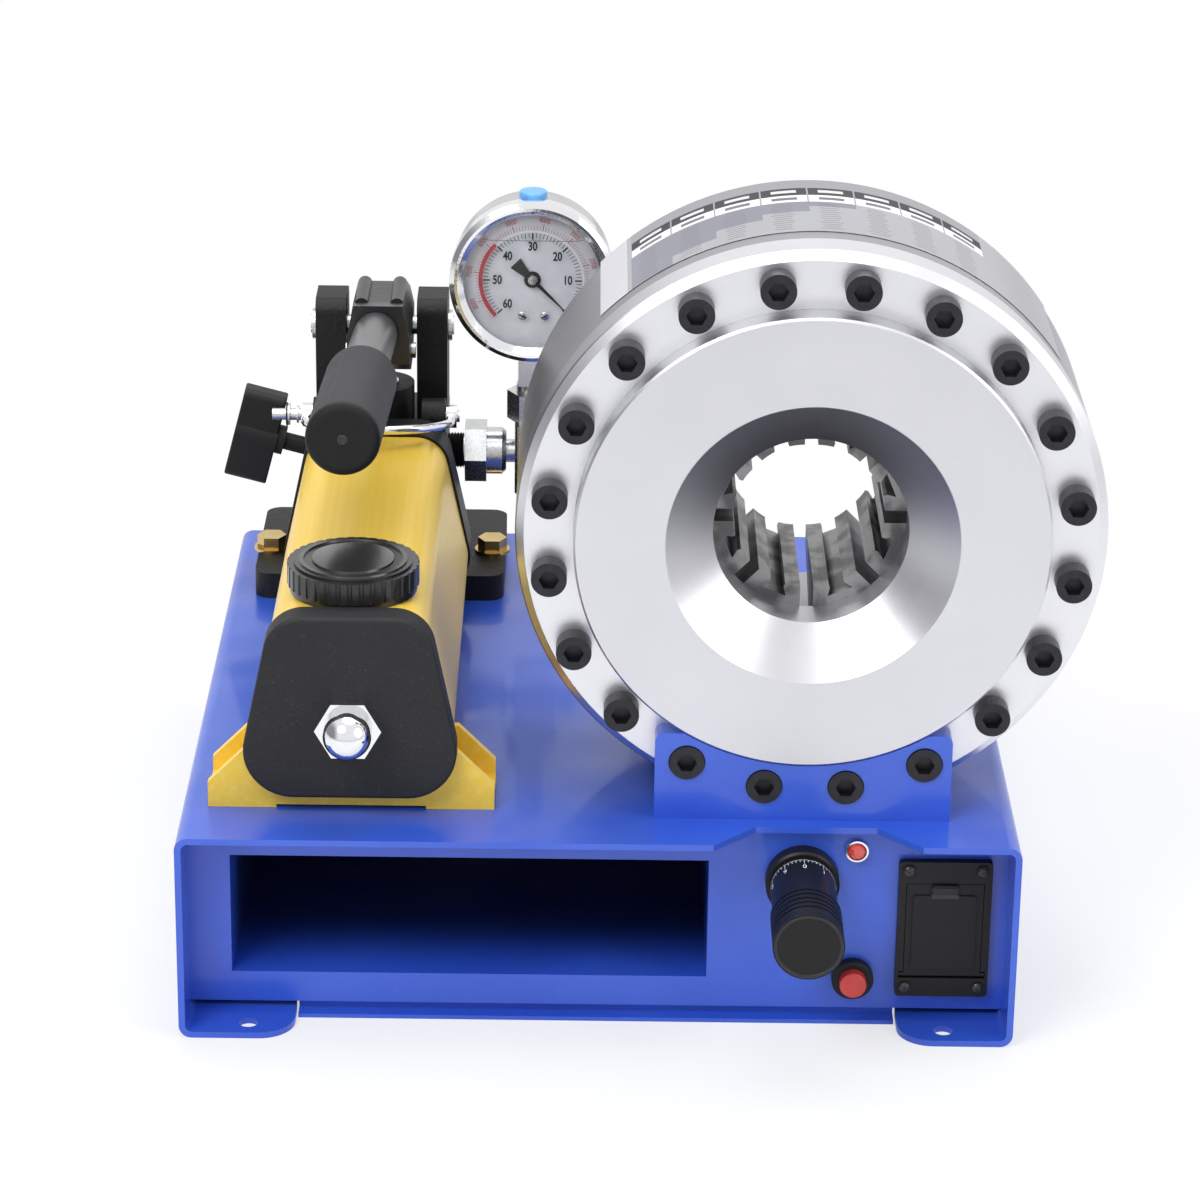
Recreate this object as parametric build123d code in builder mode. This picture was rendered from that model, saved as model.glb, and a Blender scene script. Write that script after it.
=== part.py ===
"""A bench hose crimping machine: hand pump, gauge and eight-shoe crimping head on a sheet metal base.

Millimetres, +Z up, +Y to the rear, and the origin on the floor in the middle of the four foot holes.
"""

from build123d import *
import math
import os

os.makedirs("parts", exist_ok=True)

# Driving dimensions ---------------------------------------------------------------------------
# A rise is a height above the base's top, and a drop is a depth below it.
running_fit = 0.05      # radial clearance of a part that turns or slides in its bore
loose_fit = 0.3         # clearance of a part that is held by something else

base_width = 380
base_depth = 384
base_height = 100
sheet = 3
bend_radius = 6
foot_reach = 52
foot_length = 45
foot_corner = 16
foot_hole = 9
foot_hole_side = 31     # from the outer side of the base to the hole
foot_hole_end = 10      # from the front or rear edge to the hole
notch_depth = 20
notch_width = 55
notch_slope = 19.5

panel_recess = 26
panel_lift = 6
opening_side = 22.5     # from the left side of the base to the tray's opening
opening_gap = 25.7      # from the opening to the dial's flange
opening_height = 59
opening_z = 50.5
tray_depth = 180
tray_sheet = 2
louvre_width = 90
louvre_height = 4
louvre_pitch = 10
louvre_count = 4
bottom_sheet = 2
bottom_front = 21
bottom_lip = 12

head_x = 93
head_rise = 133
head_radius = 132
head_front = 27         # front face of the raised disc, from the front edge of the base
ring_front = 40
ring_length = 20
head_back = 146
rear_plate = 12
disc_radius = 106
disc_seat_radius = 112
disc_back = 66
mouth_radius = 65.5
throat_radius = 43.8
mouth_depth = 19.5
bore_radius = 100
ram_length = 45
ram_rest = 1.5          # room between the ram and the front cover when the shoes are shut
cone_length = 14
sleeve_start = 103.5
seal_width = 4
seal_depth = 4
seal_from_back = 6

screw_circle = 118
screw_count = 20
screw_diameter = 10
screw_head = 16
screw_head_height = 10
screw_grip = 28
socket_size = 8
socket_depth = 5

bracket_left = 25
bracket_width = 134
bracket_height = 42
bracket_thickness = 12
bracket_seat = 3

shoe_count = 8
shoe_inner_radius = 34.5
shoe_front_radius = 71.4
shoe_gap = 6
shoe_slot = 7
cone_angle = 20
ram_travel = 20
sleeve_inner = 59
sleeve_outer = 65

pump_x = -112.5
cap_front = 26
cap_length = 14
profile_rise = 11
profile_height = 83
profile_half_bottom = 50.8
profile_half_top = 32.5
profile_corner_bottom = 20
profile_corner_top = 16
reservoir_wall = 3
rod_rise = 47
rod_diameter = 12
rod_grip = 20
nut_size = 26
nut_length = 12
nut_collar = 4
nut_dome = 11
filler_neck = 20
filler_flutes = 36
foot_front = 35
foot_depth = 32
foot_plate = 4
foot_half = 65
foot_pad = 31
foot_relief = 1.5
foot_web = 4
foot_side = 12
foot_slope = 17
boot_round = 2
boot = 2.5              # the rubber end cap stands out from the reservoir by this much
reservoir_end = 272
filler_y = 70
filler_radius = 30
filler_height = 14

casting_half = 33.5
casting_back = 372
ear_front = 288
ear_back = 384
ear_half = 63.5
ear_height = 13.5
ear_round = 8
ear_bolt_x = 57
ear_bolt_y = 324
ear_bolt = 8
boss_radius = 17
boss_rise = 105
casting_flange = 24
plunger_rise = 35
fork_gap = 18           # from the middle of the pump to the inner face of an upright
fork_front = 330
fork_back = 362
fork_rise = 146
fulcrum_y = 345
fulcrum_rise = 129
fulcrum_diameter = 10
plunger_y = 325
plunger_pin_rise = 122
plunger_diameter = 18
handle_axis_rise = 136
pin_diameter = 8
tongue = 12
slot_length = 30        # of the slot for the tongue, in the handle's socket
tongue_reach = 16       # from the plunger's pin down to its shoulder
socket_half = 15.7
socket_front = 296
socket_back = 357
socket_rise = 151
socket_waist_rise = 137
socket_crown = 12.5
knuckle = 3.6
tube_start = 314
handle_tilt = 5.1
handle_lean = 1.2
handle_length = 260
tube_diameter = 22
grip_diameter = 34.5
grip_length = 116

bail_y = 310
bail_lift = 92
bail_half = 36.5
bail_reach = 57
bail_rise = 12
bail_wire = 4.5
bail_pin = 6
bail_lug = 9
lug_thickness = 12
bail_pin_left = -167
bail_stub_left = 30
bail_pin_right = -72
bail_stub_right = 16
knob_y = 328
knob_centre_x = -177
knob_rise = 75
knob_angle = 14.5
knob_width = 22
knob_span = 48
knob_thickness = 15
stem_diameter = 9
stem_start = 24
stem_length = 42
slot_play = 3.8
block_rise = 83
relief_y = 315
relief_rise = 54
relief_radius = 5
relief_depth = 9
outlet_depth = 12

outlet_y = 322
outlet_rise = 69.5
thread_radius = 8
adapter_show = 9.5
nut_across = 28
nut_thick = 11
tail_radius = 12
tail_length = 10
tee_half = 15
tee_front = 306
tee_height = 36
adapter_size = 22
adapter_height = 15
gauge_x = -35.5
gauge_rise = 166.5
gauge_front = 298
gauge_radius = 41.5
gauge_depth = 34

gauge_face_depth = 5
gauge_rim = 4
plug_radius = 7
plug_depth = 4
pointer_rest = -45
pointer_length = 27
stem_top_size = 14
pipe_bend = 20

dial_from_box = 65.2
dial_flange_radius = 16.8
dial_flange = 8
dial_sleeve_radius = 14.8
dial_sleeve = 32
dial_spindle_radius = 4
dial_spindle_length = 30
dial_hub_radius = 9
dial_hub = 30
spindle_set_back = 27
fitting_radius = 11.9
fitting_tail = 12       # the dial's barrel and the lamp reach this far behind the panel
dial_drop = 28.5
dial_radius = 16
dial_end = -43
lamp_from_box = 40.7
lamp_drop = 13.5
button_z = 22
box_side = 31.8         # from the right side of the base to the middle of the battery box
box_z = 48.3
box_width = 42.5
box_height = 68
box_proud = 4
lid_width = 35
lid_height = 46
lid_gap = 0.3
lid_thickness = 2.5
hinge_swing = 1.7
box_depth = 24
button_bezel_radius = 9.6
button_rim = 5
button_radius = 6.2
button_proud = 5
button_travel = 3

# Places worked out from them ------------------------------------------------------------------
front_edge = -base_depth / 2
head_z = base_height + head_rise
profile_bottom = base_height + profile_rise
rod_z = base_height + rod_rise
boss_top = base_height + boss_rise
plunger_bottom = base_height + plunger_rise
fork_top = base_height + fork_rise
fulcrum_z = base_height + fulcrum_rise
plunger_pin_z = base_height + plunger_pin_rise
handle_axis_z = base_height + handle_axis_rise
socket_top = base_height + socket_rise
socket_waist = base_height + socket_waist_rise
bail_z = base_height + bail_lift
knob_centre_z = base_height + knob_rise
block_top = base_height + block_rise
relief_z = base_height + relief_rise
outlet_z = base_height + outlet_rise
gauge_z = base_height + gauge_rise
dial_z = base_height - dial_drop
lamp_z = base_height - lamp_drop
box_x = base_width / 2 - box_side
lamp_x = button_x = box_x - lamp_from_box
dial_x = box_x - dial_from_box
opening_left = opening_side - base_width / 2
opening_right = dial_x - dial_flange_radius - opening_gap
opening_width = opening_right - opening_left
opening_x = (opening_left + opening_right) / 2
inner_bend = bend_radius - sheet
plate_under = base_height - sheet
floor_of_pump = base_height
shoe_front = disc_back
shoe_back = head_back - 2
cone_slope = math.tan(math.radians(cone_angle))
shoe_travel = ram_travel * cone_slope


def station(y):
    """The upright plane that faces the front, y behind the front edge of the base."""
    return Plane.XZ.offset(-(front_edge + y))


def place(x, y, z):
    """A point from x, the distance behind the front edge, and the height."""
    return (x, front_edge + y, z)


head_profile = Plane(origin=place(head_x, 0, head_z), x_dir=(0, 1, 0), z_dir=(1, 0, 0))
head_axis = Axis(place(head_x, 0, head_z), (0, 1, 0))


def save(builder, name):
    """Labels a finished piece and writes it as parts/name.step."""
    builder.part.label = name
    export_step(builder.part, f"parts/{name}.step")


def outline(plane, *points):
    """A closed polygon as a sketch on a plane."""
    with BuildSketch(plane) as drawn:
        with BuildLine():
            Polyline(*points, close=True)
        make_face()
    return drawn.sketch


def turn_on_head(*points):
    """Turns a closed profile of (distance from the front edge, radius) about the head's axis."""
    revolve(outline(head_profile, *points), axis=head_axis)


def pump_profile(plane, grow, corner_grow=0.0):
    """The rounded trapezium of the reservoir, grown outward by grow."""
    top = profile_bottom + profile_height + grow
    low = profile_bottom - grow
    with BuildSketch(plane) as drawn:
        with BuildLine():
            Polyline(
                (pump_x - profile_half_bottom - grow, low),
                (pump_x + profile_half_bottom + grow, low),
                (pump_x + profile_half_top + grow, top),
                (pump_x - profile_half_top - grow, top),
                close=True,
            )
        make_face()
        fillet(drawn.vertices().group_by(Axis.Y)[0], profile_corner_bottom + grow + corner_grow)
        fillet(drawn.vertices().group_by(Axis.Y)[-1], profile_corner_top + grow + corner_grow)
    return drawn.sketch


def hexagon(across_flats):
    """A hexagon of this size across its flats, in the sketch being drawn."""
    RegularPolygon(radius=across_flats / 2, side_count=6, major_radius=False)


# The base -------------------------------------------------------------------------------------
with BuildPart() as base_shell:
    with BuildSketch(station(0)):
        with Locations((0, base_height / 2)):
            RectangleRounded(base_width, base_height, bend_radius)
            RectangleRounded(
                base_width - 2 * sheet, base_height - 2 * sheet, inner_bend, mode=Mode.SUBTRACT
            )
        with Locations((0, 0)):
            Rectangle(base_width - 2 * foot_reach, 4 * sheet, mode=Mode.SUBTRACT)
    extrude(amount=-base_depth)
    with BuildSketch():
        Rectangle(base_width, base_depth - 2 * foot_length)
    extrude(amount=bend_radius, mode=Mode.SUBTRACT)
    tab_corners = (
        base_shell.edges()
        .filter_by(Axis.Z)
        .filter_by(lambda edge: edge.center().Z < sheet)
        .filter_by(lambda edge: abs(abs(edge.center().X) - base_width / 2 + foot_reach) < 0.1)
    )
    fillet(tab_corners, foot_corner)
    with BuildSketch():
        with GridLocations(
            base_width - 2 * foot_hole_side, base_depth - 2 * foot_hole_end, 2, 2
        ):
            Circle(foot_hole / 2)
    extrude(amount=sheet, mode=Mode.SUBTRACT)
    with BuildSketch(Plane.XY.offset(base_height)):
        with BuildLine():
            Polyline(
                (head_x + 5.5 - notch_width / 2 - notch_slope, front_edge - 1),
                (head_x + 5.5 - notch_width / 2 - notch_slope, front_edge),
                (head_x + 5.5 - notch_width / 2, front_edge + notch_depth),
                (head_x + 5.5 + notch_width / 2, front_edge + notch_depth),
                (head_x + 5.5 + notch_width / 2 + notch_slope, front_edge),
                (head_x + 5.5 + notch_width / 2 + notch_slope, front_edge - 1),
                close=True,
            )
        make_face()
    extrude(amount=-sheet, mode=Mode.SUBTRACT)
save(base_shell, "base_shell")

panel_width = base_width - 2 * sheet
panel_height = plate_under - panel_lift

with BuildPart() as front_panel:
    with BuildSketch(station(panel_recess)) as front_sheet:
        with Locations((0, panel_lift + panel_height / 2)):
            Rectangle(panel_width, panel_height)
        fillet(front_sheet.vertices().group_by(Axis.Y)[-1], inner_bend + loose_fit)
    extrude(amount=-sheet)
    with BuildSketch(station(panel_recess + sheet)):
        with Locations((opening_x, opening_z)):
            Rectangle(opening_width + 2 * tray_sheet, opening_height + 2 * tray_sheet)
    extrude(amount=-tray_depth)
    with BuildSketch(station(panel_recess)):
        with Locations((opening_x, opening_z)):
            Rectangle(opening_width, opening_height)
    extrude(amount=-(sheet + tray_depth - tray_sheet), mode=Mode.SUBTRACT)
    with BuildSketch(station(panel_recess)):
        with Locations((dial_x, dial_z)):
            Circle(12)
        with Locations((lamp_x, lamp_z)):
            Circle(4)
        with Locations((button_x, button_z)):
            Circle(8)
        with Locations((box_x, box_z)):
            Rectangle(lid_width + 1, lid_height + 4)
    extrude(amount=-sheet, mode=Mode.SUBTRACT)
save(front_panel, "front_panel")

bottom_width = base_width - 2 * foot_reach - 2
with BuildPart() as bottom_plate:
    bottom_end = base_depth - panel_recess - sheet
    with BuildSketch(Plane.XY):
        with Locations((0, front_edge + (bottom_front + bottom_end) / 2)):
            Rectangle(bottom_width, bottom_end - bottom_front)
    extrude(amount=bottom_sheet)
    for lip_y in (panel_recess + sheet, bottom_end - bottom_sheet):
        with BuildSketch(station(lip_y)):
            with Locations((0, bottom_lip / 2)):
                Rectangle(bottom_width, bottom_lip)
        extrude(amount=-bottom_sheet)
save(bottom_plate, "bottom_plate")

with BuildPart() as rear_panel:
    with BuildSketch(station(base_depth - panel_recess)) as rear_sheet:
        with Locations((0, panel_lift + panel_height / 2)):
            Rectangle(panel_width, panel_height)
        fillet(rear_sheet.vertices().group_by(Axis.Y)[-1], inner_bend + loose_fit)
    extrude(amount=sheet)
    with BuildSketch(station(base_depth - panel_recess)):
        with Locations((0, base_height / 2)):
            with GridLocations(0, louvre_pitch, 1, louvre_count):
                SlotOverall(louvre_width, louvre_height)
    extrude(amount=sheet, mode=Mode.SUBTRACT)
save(rear_panel, "rear_panel")

# The head: covers, barrel, ram and shoes --------------------------------------------------------
bracket_middle = bracket_left + bracket_width / 2
barrel_start = ring_front + ring_length
barrel_end = head_back - rear_plate
screw_hole = screw_diameter / 2 + running_fit


def screw_places(first, count, radius=screw_circle):
    """Centres on the screw circle, counted anticlockwise from first."""
    step = 360 / screw_count
    turns = [math.radians(step * (first + k + 0.5)) for k in range(count)]
    return [(head_x + radius * math.cos(a), head_z + radius * math.sin(a)) for a in turns]


bracket_count = 4
first_in_bracket = screw_count * 3 // 4 - bracket_count // 2
bracket_places = screw_places(first_in_bracket, bracket_count)
ring_places = screw_places(first_in_bracket + bracket_count, screw_count - bracket_count)

with BuildPart() as head_bracket:
    with BuildSketch(station(ring_front - bracket_thickness)) as bracket_shape:
        with Locations((bracket_middle, base_height + bracket_height / 2)):
            Rectangle(bracket_width, bracket_height)
        fillet(bracket_shape.vertices().group_by(Axis.Y)[-1], 4)
        with Locations((head_x, head_z)):
            Circle(disc_radius + loose_fit, mode=Mode.SUBTRACT)
    extrude(amount=-bracket_thickness)
    with BuildSketch(station(ring_front - bracket_thickness)):
        with Locations(*bracket_places):
            Circle(screw_hole)
    extrude(amount=-bracket_thickness, mode=Mode.SUBTRACT)
    with BuildSketch(station(ring_front - bracket_thickness)):
        with Locations(*bracket_places):
            Circle(screw_head / 2 + loose_fit)
    extrude(amount=-(bracket_thickness - bracket_seat), mode=Mode.SUBTRACT)
save(head_bracket, "head_bracket")

saddle_y = barrel_end - rear_plate
with BuildPart() as rear_saddle:
    with BuildSketch(station(saddle_y)) as saddle_shape:
        with Locations((bracket_middle, base_height + bracket_height / 2)):
            Rectangle(bracket_width, bracket_height)
        with Locations((head_x, head_z)):
            Circle(head_radius + running_fit, mode=Mode.SUBTRACT)
    extrude(amount=-rear_plate)
save(rear_saddle, "rear_saddle")

with BuildPart() as flange_ring:
    ring_end = barrel_start
    inside = disc_radius + running_fit
    turn_on_head(
        (ring_front, inside), (ring_front, head_radius - 4), (ring_front + 4, head_radius),
        (ring_end, head_radius), (ring_end, inside),
    )
    with BuildSketch(station(ring_front)):
        with Locations(*ring_places, *bracket_places):
            Circle(screw_hole)
    extrude(amount=-ring_length, mode=Mode.SUBTRACT)
save(flange_ring, "flange_ring")

with BuildPart() as front_cover:
    turn_on_head(
        (head_front, mouth_radius),
        (head_front + mouth_depth, throat_radius),
        (disc_back, throat_radius),
        (disc_back, disc_seat_radius),
        (barrel_start, disc_seat_radius),
        (barrel_start, disc_radius),
        (head_front + 1, disc_radius),
        (head_front, disc_radius - 1),
    )
save(front_cover, "front_cover")

with BuildPart() as cylinder_barrel:
    turn_on_head(
        (barrel_start, disc_seat_radius + running_fit),
        (barrel_start, head_radius),
        (barrel_end, head_radius),
        (barrel_end, bore_radius),
        (disc_back, bore_radius),
        (disc_back, disc_seat_radius + running_fit),
    )
    with BuildSketch(station(barrel_start)):
        with Locations(*ring_places, *bracket_places):
            Circle(screw_hole)
    extrude(amount=-(screw_grip - ring_length + 2), mode=Mode.SUBTRACT)
    rear_places = screw_places(0, screw_count)[::2]
    with BuildSketch(station(barrel_end)):
        with Locations(*rear_places):
            Circle(screw_hole)
    extrude(amount=screw_grip - rear_plate + 2, mode=Mode.SUBTRACT)
save(cylinder_barrel, "cylinder_barrel")

feed_x = 20
feed_z = outlet_z
pipe_radius = 4
port_radius = 8
with BuildPart() as rear_cover:
    turn_on_head(
        (sleeve_start, sleeve_inner), (sleeve_start, sleeve_outer),
        (barrel_end, sleeve_outer), (barrel_end, head_radius), (head_back - 4, head_radius),
        (head_back, head_radius - 4), (head_back, sleeve_inner),
    )
    with BuildSketch(station(head_back)):
        with Locations(*rear_places):
            Circle(screw_hole)
    extrude(amount=rear_plate, mode=Mode.SUBTRACT)
    with BuildSketch(station(head_back)):
        with Locations((feed_x, feed_z)):
            Circle(port_radius)
    extrude(amount=-6)
    with BuildSketch(station(head_back + 6)):
        with Locations((feed_x, feed_z)):
            Circle(pipe_radius + running_fit)
    extrude(amount=rear_plate + 6, mode=Mode.SUBTRACT)
save(rear_cover, "rear_cover")


def discs(y, places, radius):
    """Circles of one radius at places on the plane y, as a sketch."""
    with BuildSketch(station(y)) as drawn:
        with Locations(*places):
            Circle(radius)
    return drawn.sketch


def cap_screws(places, y, direction, grip):
    """Socket head cap screws whose heads bear on the plane y; direction -1 points to the rear."""
    extrude(discs(y, places, screw_diameter / 2), amount=direction * grip)
    extrude(discs(y, places, screw_head / 2), amount=-direction * screw_head_height)
    with BuildSketch(station(y + direction * screw_head_height)) as sockets:
        with Locations(*places):
            hexagon(socket_size)
    extrude(sockets.sketch, amount=direction * socket_depth, mode=Mode.SUBTRACT)


with BuildPart() as head_screws:
    cap_screws(ring_places, ring_front, -1, screw_grip)
    cap_screws(
        bracket_places, ring_front - bracket_seat, -1, screw_grip + bracket_seat
    )
save(head_screws, "head_screws")

with BuildPart() as rear_screws:
    cap_screws(rear_places, head_back, 1, screw_grip)
save(rear_screws, "rear_screws")

ram_front = disc_back + ram_travel + ram_rest
ram_back = ram_front + ram_length
ram_step = ram_front + cone_length
seal_end = ram_back - seal_from_back
seal_start = seal_end - seal_width
ram_radius = bore_radius - running_fit
ram_inner = sleeve_outer + running_fit


def cone_radius(y):
    """The radius of the shoes' cone this far behind the front edge, with the shoes open."""
    return shoe_front_radius - (y - shoe_front) * cone_slope


with BuildPart() as ram_cone:
    turn_on_head(
        (ram_front, cone_radius(ram_front)), (ram_front, ram_radius),
        (seal_start, ram_radius), (seal_start, ram_radius - seal_depth),
        (seal_end, ram_radius - seal_depth), (seal_end, ram_radius),
        (ram_back, ram_radius), (ram_back, ram_inner),
        (seal_end, ram_inner), (seal_end, ram_inner + seal_depth),
        (seal_start, ram_inner + seal_depth), (seal_start, ram_inner),
        (ram_step, ram_inner), (ram_step, cone_radius(ram_step)),
    )
save(ram_cone, "ram_cone")

with BuildPart() as ram_seals:
    turn_on_head(
        (seal_start, ram_radius - seal_depth), (seal_start, ram_radius),
        (seal_end, ram_radius), (seal_end, ram_radius - seal_depth),
    )
    turn_on_head(
        (seal_start, ram_inner), (seal_start, ram_inner + seal_depth),
        (seal_end, ram_inner + seal_depth), (seal_end, ram_inner),
    )
save(ram_seals, "ram_seals")

half_step = math.radians(180 / shoe_count)
shut_gap = shoe_gap - 2 * shoe_travel * math.sin(half_step)
shut_inner = shoe_inner_radius - shoe_travel
wedge_start = shut_gap / 2 / math.sin(half_step)
wedge_reach = shoe_front_radius * 1.3


def shut_outer(y):
    """The radius of a shoe's back when the shoes are shut and the back lies in the ram's cone."""
    return cone_radius(y) - shoe_travel - running_fit


for number in range(shoe_count):
    turn = math.radians(90 - 360 / shoe_count * (number + 0.5))
    radial = Vector(math.cos(turn), 0, math.sin(turn))
    middle = Vector(*place(head_x, 0, head_z)) + radial * shoe_travel
    along = Plane(origin=middle, x_dir=(0, 1, 0), z_dir=Vector(0, 1, 0).cross(radial))
    shoe_plane = Plane(origin=middle, x_dir=radial, z_dir=(0, -1, 0))
    with BuildPart() as shoe:
        revolve(
            outline(
                along,
                (shoe_front + running_fit, shut_inner), (shoe_back, shut_inner),
                (shoe_back, shut_outer(shoe_back)),
                (shoe_front + running_fit, shut_outer(shoe_front)),
            ),
            axis=Axis(middle, (0, 1, 0)),
        )
        with BuildSketch(shoe_plane.offset(-shoe_front)):
            with BuildLine():
                Polyline(
                    (wedge_start, 0),
                    (wedge_start + wedge_reach, wedge_reach * math.tan(half_step)),
                    (wedge_start + wedge_reach, -wedge_reach * math.tan(half_step)),
                    close=True,
                )
            make_face()
        extrude(amount=-(shoe_back - shoe_front), mode=Mode.INTERSECT)
        with BuildSketch(shoe_plane.offset(-shoe_front)):
            with BuildLine():
                Polyline(
                    (shut_inner - 5, -shoe_slot / 2), (shut_inner + 1.5, -shoe_slot / 2),
                    (shut_inner + 5, -shoe_slot / 2 - 2.5), (shut_inner + 5, shoe_slot / 2 + 2.5),
                    (shut_inner + 1.5, shoe_slot / 2), (shut_inner - 5, shoe_slot / 2),
                    close=True,
                )
            make_face()
        extrude(amount=-(shoe_back - shoe_front), mode=Mode.SUBTRACT)
    save(shoe, f"die_shoe_{number + 1}")

# The hand pump --------------------------------------------------------------------------------
reservoir_start = cap_front + cap_length - 8
with BuildPart() as reservoir:
    extrude(pump_profile(station(reservoir_start), 0), amount=-(reservoir_end - reservoir_start))
    extrude(
        pump_profile(station(reservoir_start), -reservoir_wall),
        amount=-(reservoir_end - reservoir_start), mode=Mode.SUBTRACT,
    )
    reservoir_top = profile_bottom + profile_height
    with BuildSketch(Plane.XY.offset(reservoir_top)):
        with Locations((pump_x, front_edge + filler_y)):
            Circle(filler_neck)
    extrude(amount=-reservoir_wall * 2, mode=Mode.SUBTRACT)
save(reservoir, "reservoir")

with BuildPart() as reservoir_end_cap:
    extrude(pump_profile(station(cap_front), boot), amount=-cap_length)
    fillet(reservoir_end_cap.faces().sort_by(Axis.Y)[0].outer_wire().edges(), boot_round)
    extrude(
        pump_profile(station(cap_front + cap_length), running_fit),
        amount=cap_front + cap_length - reservoir_start, mode=Mode.SUBTRACT,
    )
    extrude(discs(cap_front, [(pump_x, rod_z)], rod_diameter / 2 + running_fit),
            amount=-cap_length, mode=Mode.SUBTRACT)
save(reservoir_end_cap, "reservoir_end_cap")

with BuildPart() as tie_rod:
    extrude(discs(cap_front - nut_length + 3, [(pump_x, rod_z)], rod_diameter / 2),
            amount=-(reservoir_end + rod_grip - cap_front + nut_length - 3))
save(tie_rod, "tie_rod")

with BuildPart() as acorn_nut:
    with BuildSketch(station(cap_front)):
        with Locations((pump_x, rod_z)):
            hexagon(nut_size)
    extrude(amount=nut_length)
    dome_y = cap_front - nut_length
    dome_plane = Plane(origin=place(pump_x, dome_y, rod_z), x_dir=(0, -1, 0), z_dir=(-1, 0, 0))
    with BuildSketch(dome_plane):
        with BuildLine():
            Polyline((nut_collar + nut_dome, 0), (0, 0), (0, nut_dome), (nut_collar, nut_dome))
            bulge = nut_dome * math.sin(math.radians(45))
            ThreePointArc(
                (nut_collar, nut_dome), (nut_collar + bulge, bulge), (nut_collar + nut_dome, 0)
            )
        make_face()
    revolve(axis=Axis(place(pump_x, dome_y, rod_z), (0, -1, 0)))
    extrude(discs(cap_front, [(pump_x, rod_z)], rod_diameter / 2 + running_fit),
            amount=nut_length - 3, mode=Mode.SUBTRACT)
save(acorn_nut, "acorn_nut")

with BuildPart() as filler_cap:
    with BuildSketch(Plane.XY.offset(reservoir_top)):
        with Locations((pump_x, front_edge + filler_y)):
            Circle(filler_radius - 1)
    extrude(amount=3)
    with BuildSketch(Plane.XY.offset(reservoir_top + 3)):
        with Locations((pump_x, front_edge + filler_y)):
            Circle(filler_radius)
            with PolarLocations(filler_radius + 0.6, filler_flutes):
                Circle(1.3, mode=Mode.SUBTRACT)
    extrude(amount=filler_height - 4)
    with BuildSketch(Plane.XY.offset(reservoir_top + filler_height - 1)):
        with Locations((pump_x, front_edge + filler_y)):
            Circle(filler_radius - 3)
    extrude(amount=1)
    with BuildSketch(Plane.XY.offset(reservoir_top)):
        with Locations((pump_x, front_edge + filler_y)):
            Circle(filler_neck - running_fit)
    extrude(amount=-10)
save(filler_cap, "filler_cap")

foot_back = foot_front + foot_depth
with BuildPart() as pump_foot:
    for leg_y in (foot_front, foot_back - foot_plate):
        with BuildSketch(station(leg_y)):
            with BuildLine():
                Polyline(
                    (pump_x - foot_half, base_height),
                    (pump_x - foot_half + foot_pad, base_height),
                    (pump_x - foot_half + foot_pad, base_height + foot_relief),
                    (pump_x + foot_half - foot_pad, base_height + foot_relief),
                    (pump_x + foot_half - foot_pad, base_height),
                    (pump_x + foot_half, base_height),
                    (pump_x + foot_half, base_height + foot_side),
                    (pump_x + foot_half - foot_slope, base_height + foot_side + foot_slope),
                    (pump_x - foot_half + foot_slope, base_height + foot_side + foot_slope),
                    (pump_x - foot_half, base_height + foot_side),
                    close=True,
                )
            make_face()
        extrude(amount=-foot_plate)
    with BuildSketch(station(foot_front)):
        with Locations((pump_x, base_height + foot_relief + foot_web / 2)):
            Rectangle(2 * foot_half, foot_web)
    extrude(amount=-foot_depth)
    extrude(pump_profile(station(foot_front), 0.02), amount=-foot_depth, mode=Mode.SUBTRACT)
    extrude(pump_profile(station(foot_front), boot + loose_fit),
            amount=-(cap_front + cap_length - foot_front), mode=Mode.SUBTRACT)
save(pump_foot, "pump_foot")

pump_middle = (ear_front + ear_back) / 2
knob_drop = math.radians(knob_angle)
stem_direction = Vector(math.cos(knob_drop), 0, -math.sin(knob_drop))
knob_plane = Plane(
    origin=place(knob_centre_x, knob_y, knob_centre_z), x_dir=(0, 1, 0), z_dir=stem_direction
)
fork_middle = (fork_gap + casting_half) / 2
handle_direction = Vector(
    -math.sin(math.radians(handle_lean)) * math.cos(math.radians(handle_tilt)),
    -math.cos(math.radians(handle_lean)) * math.cos(math.radians(handle_tilt)),
    math.sin(math.radians(handle_tilt)),
)
handle_plane = Plane(
    origin=place(pump_x, fulcrum_y, handle_axis_z), x_dir=(1, 0, 0), z_dir=handle_direction
)

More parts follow.
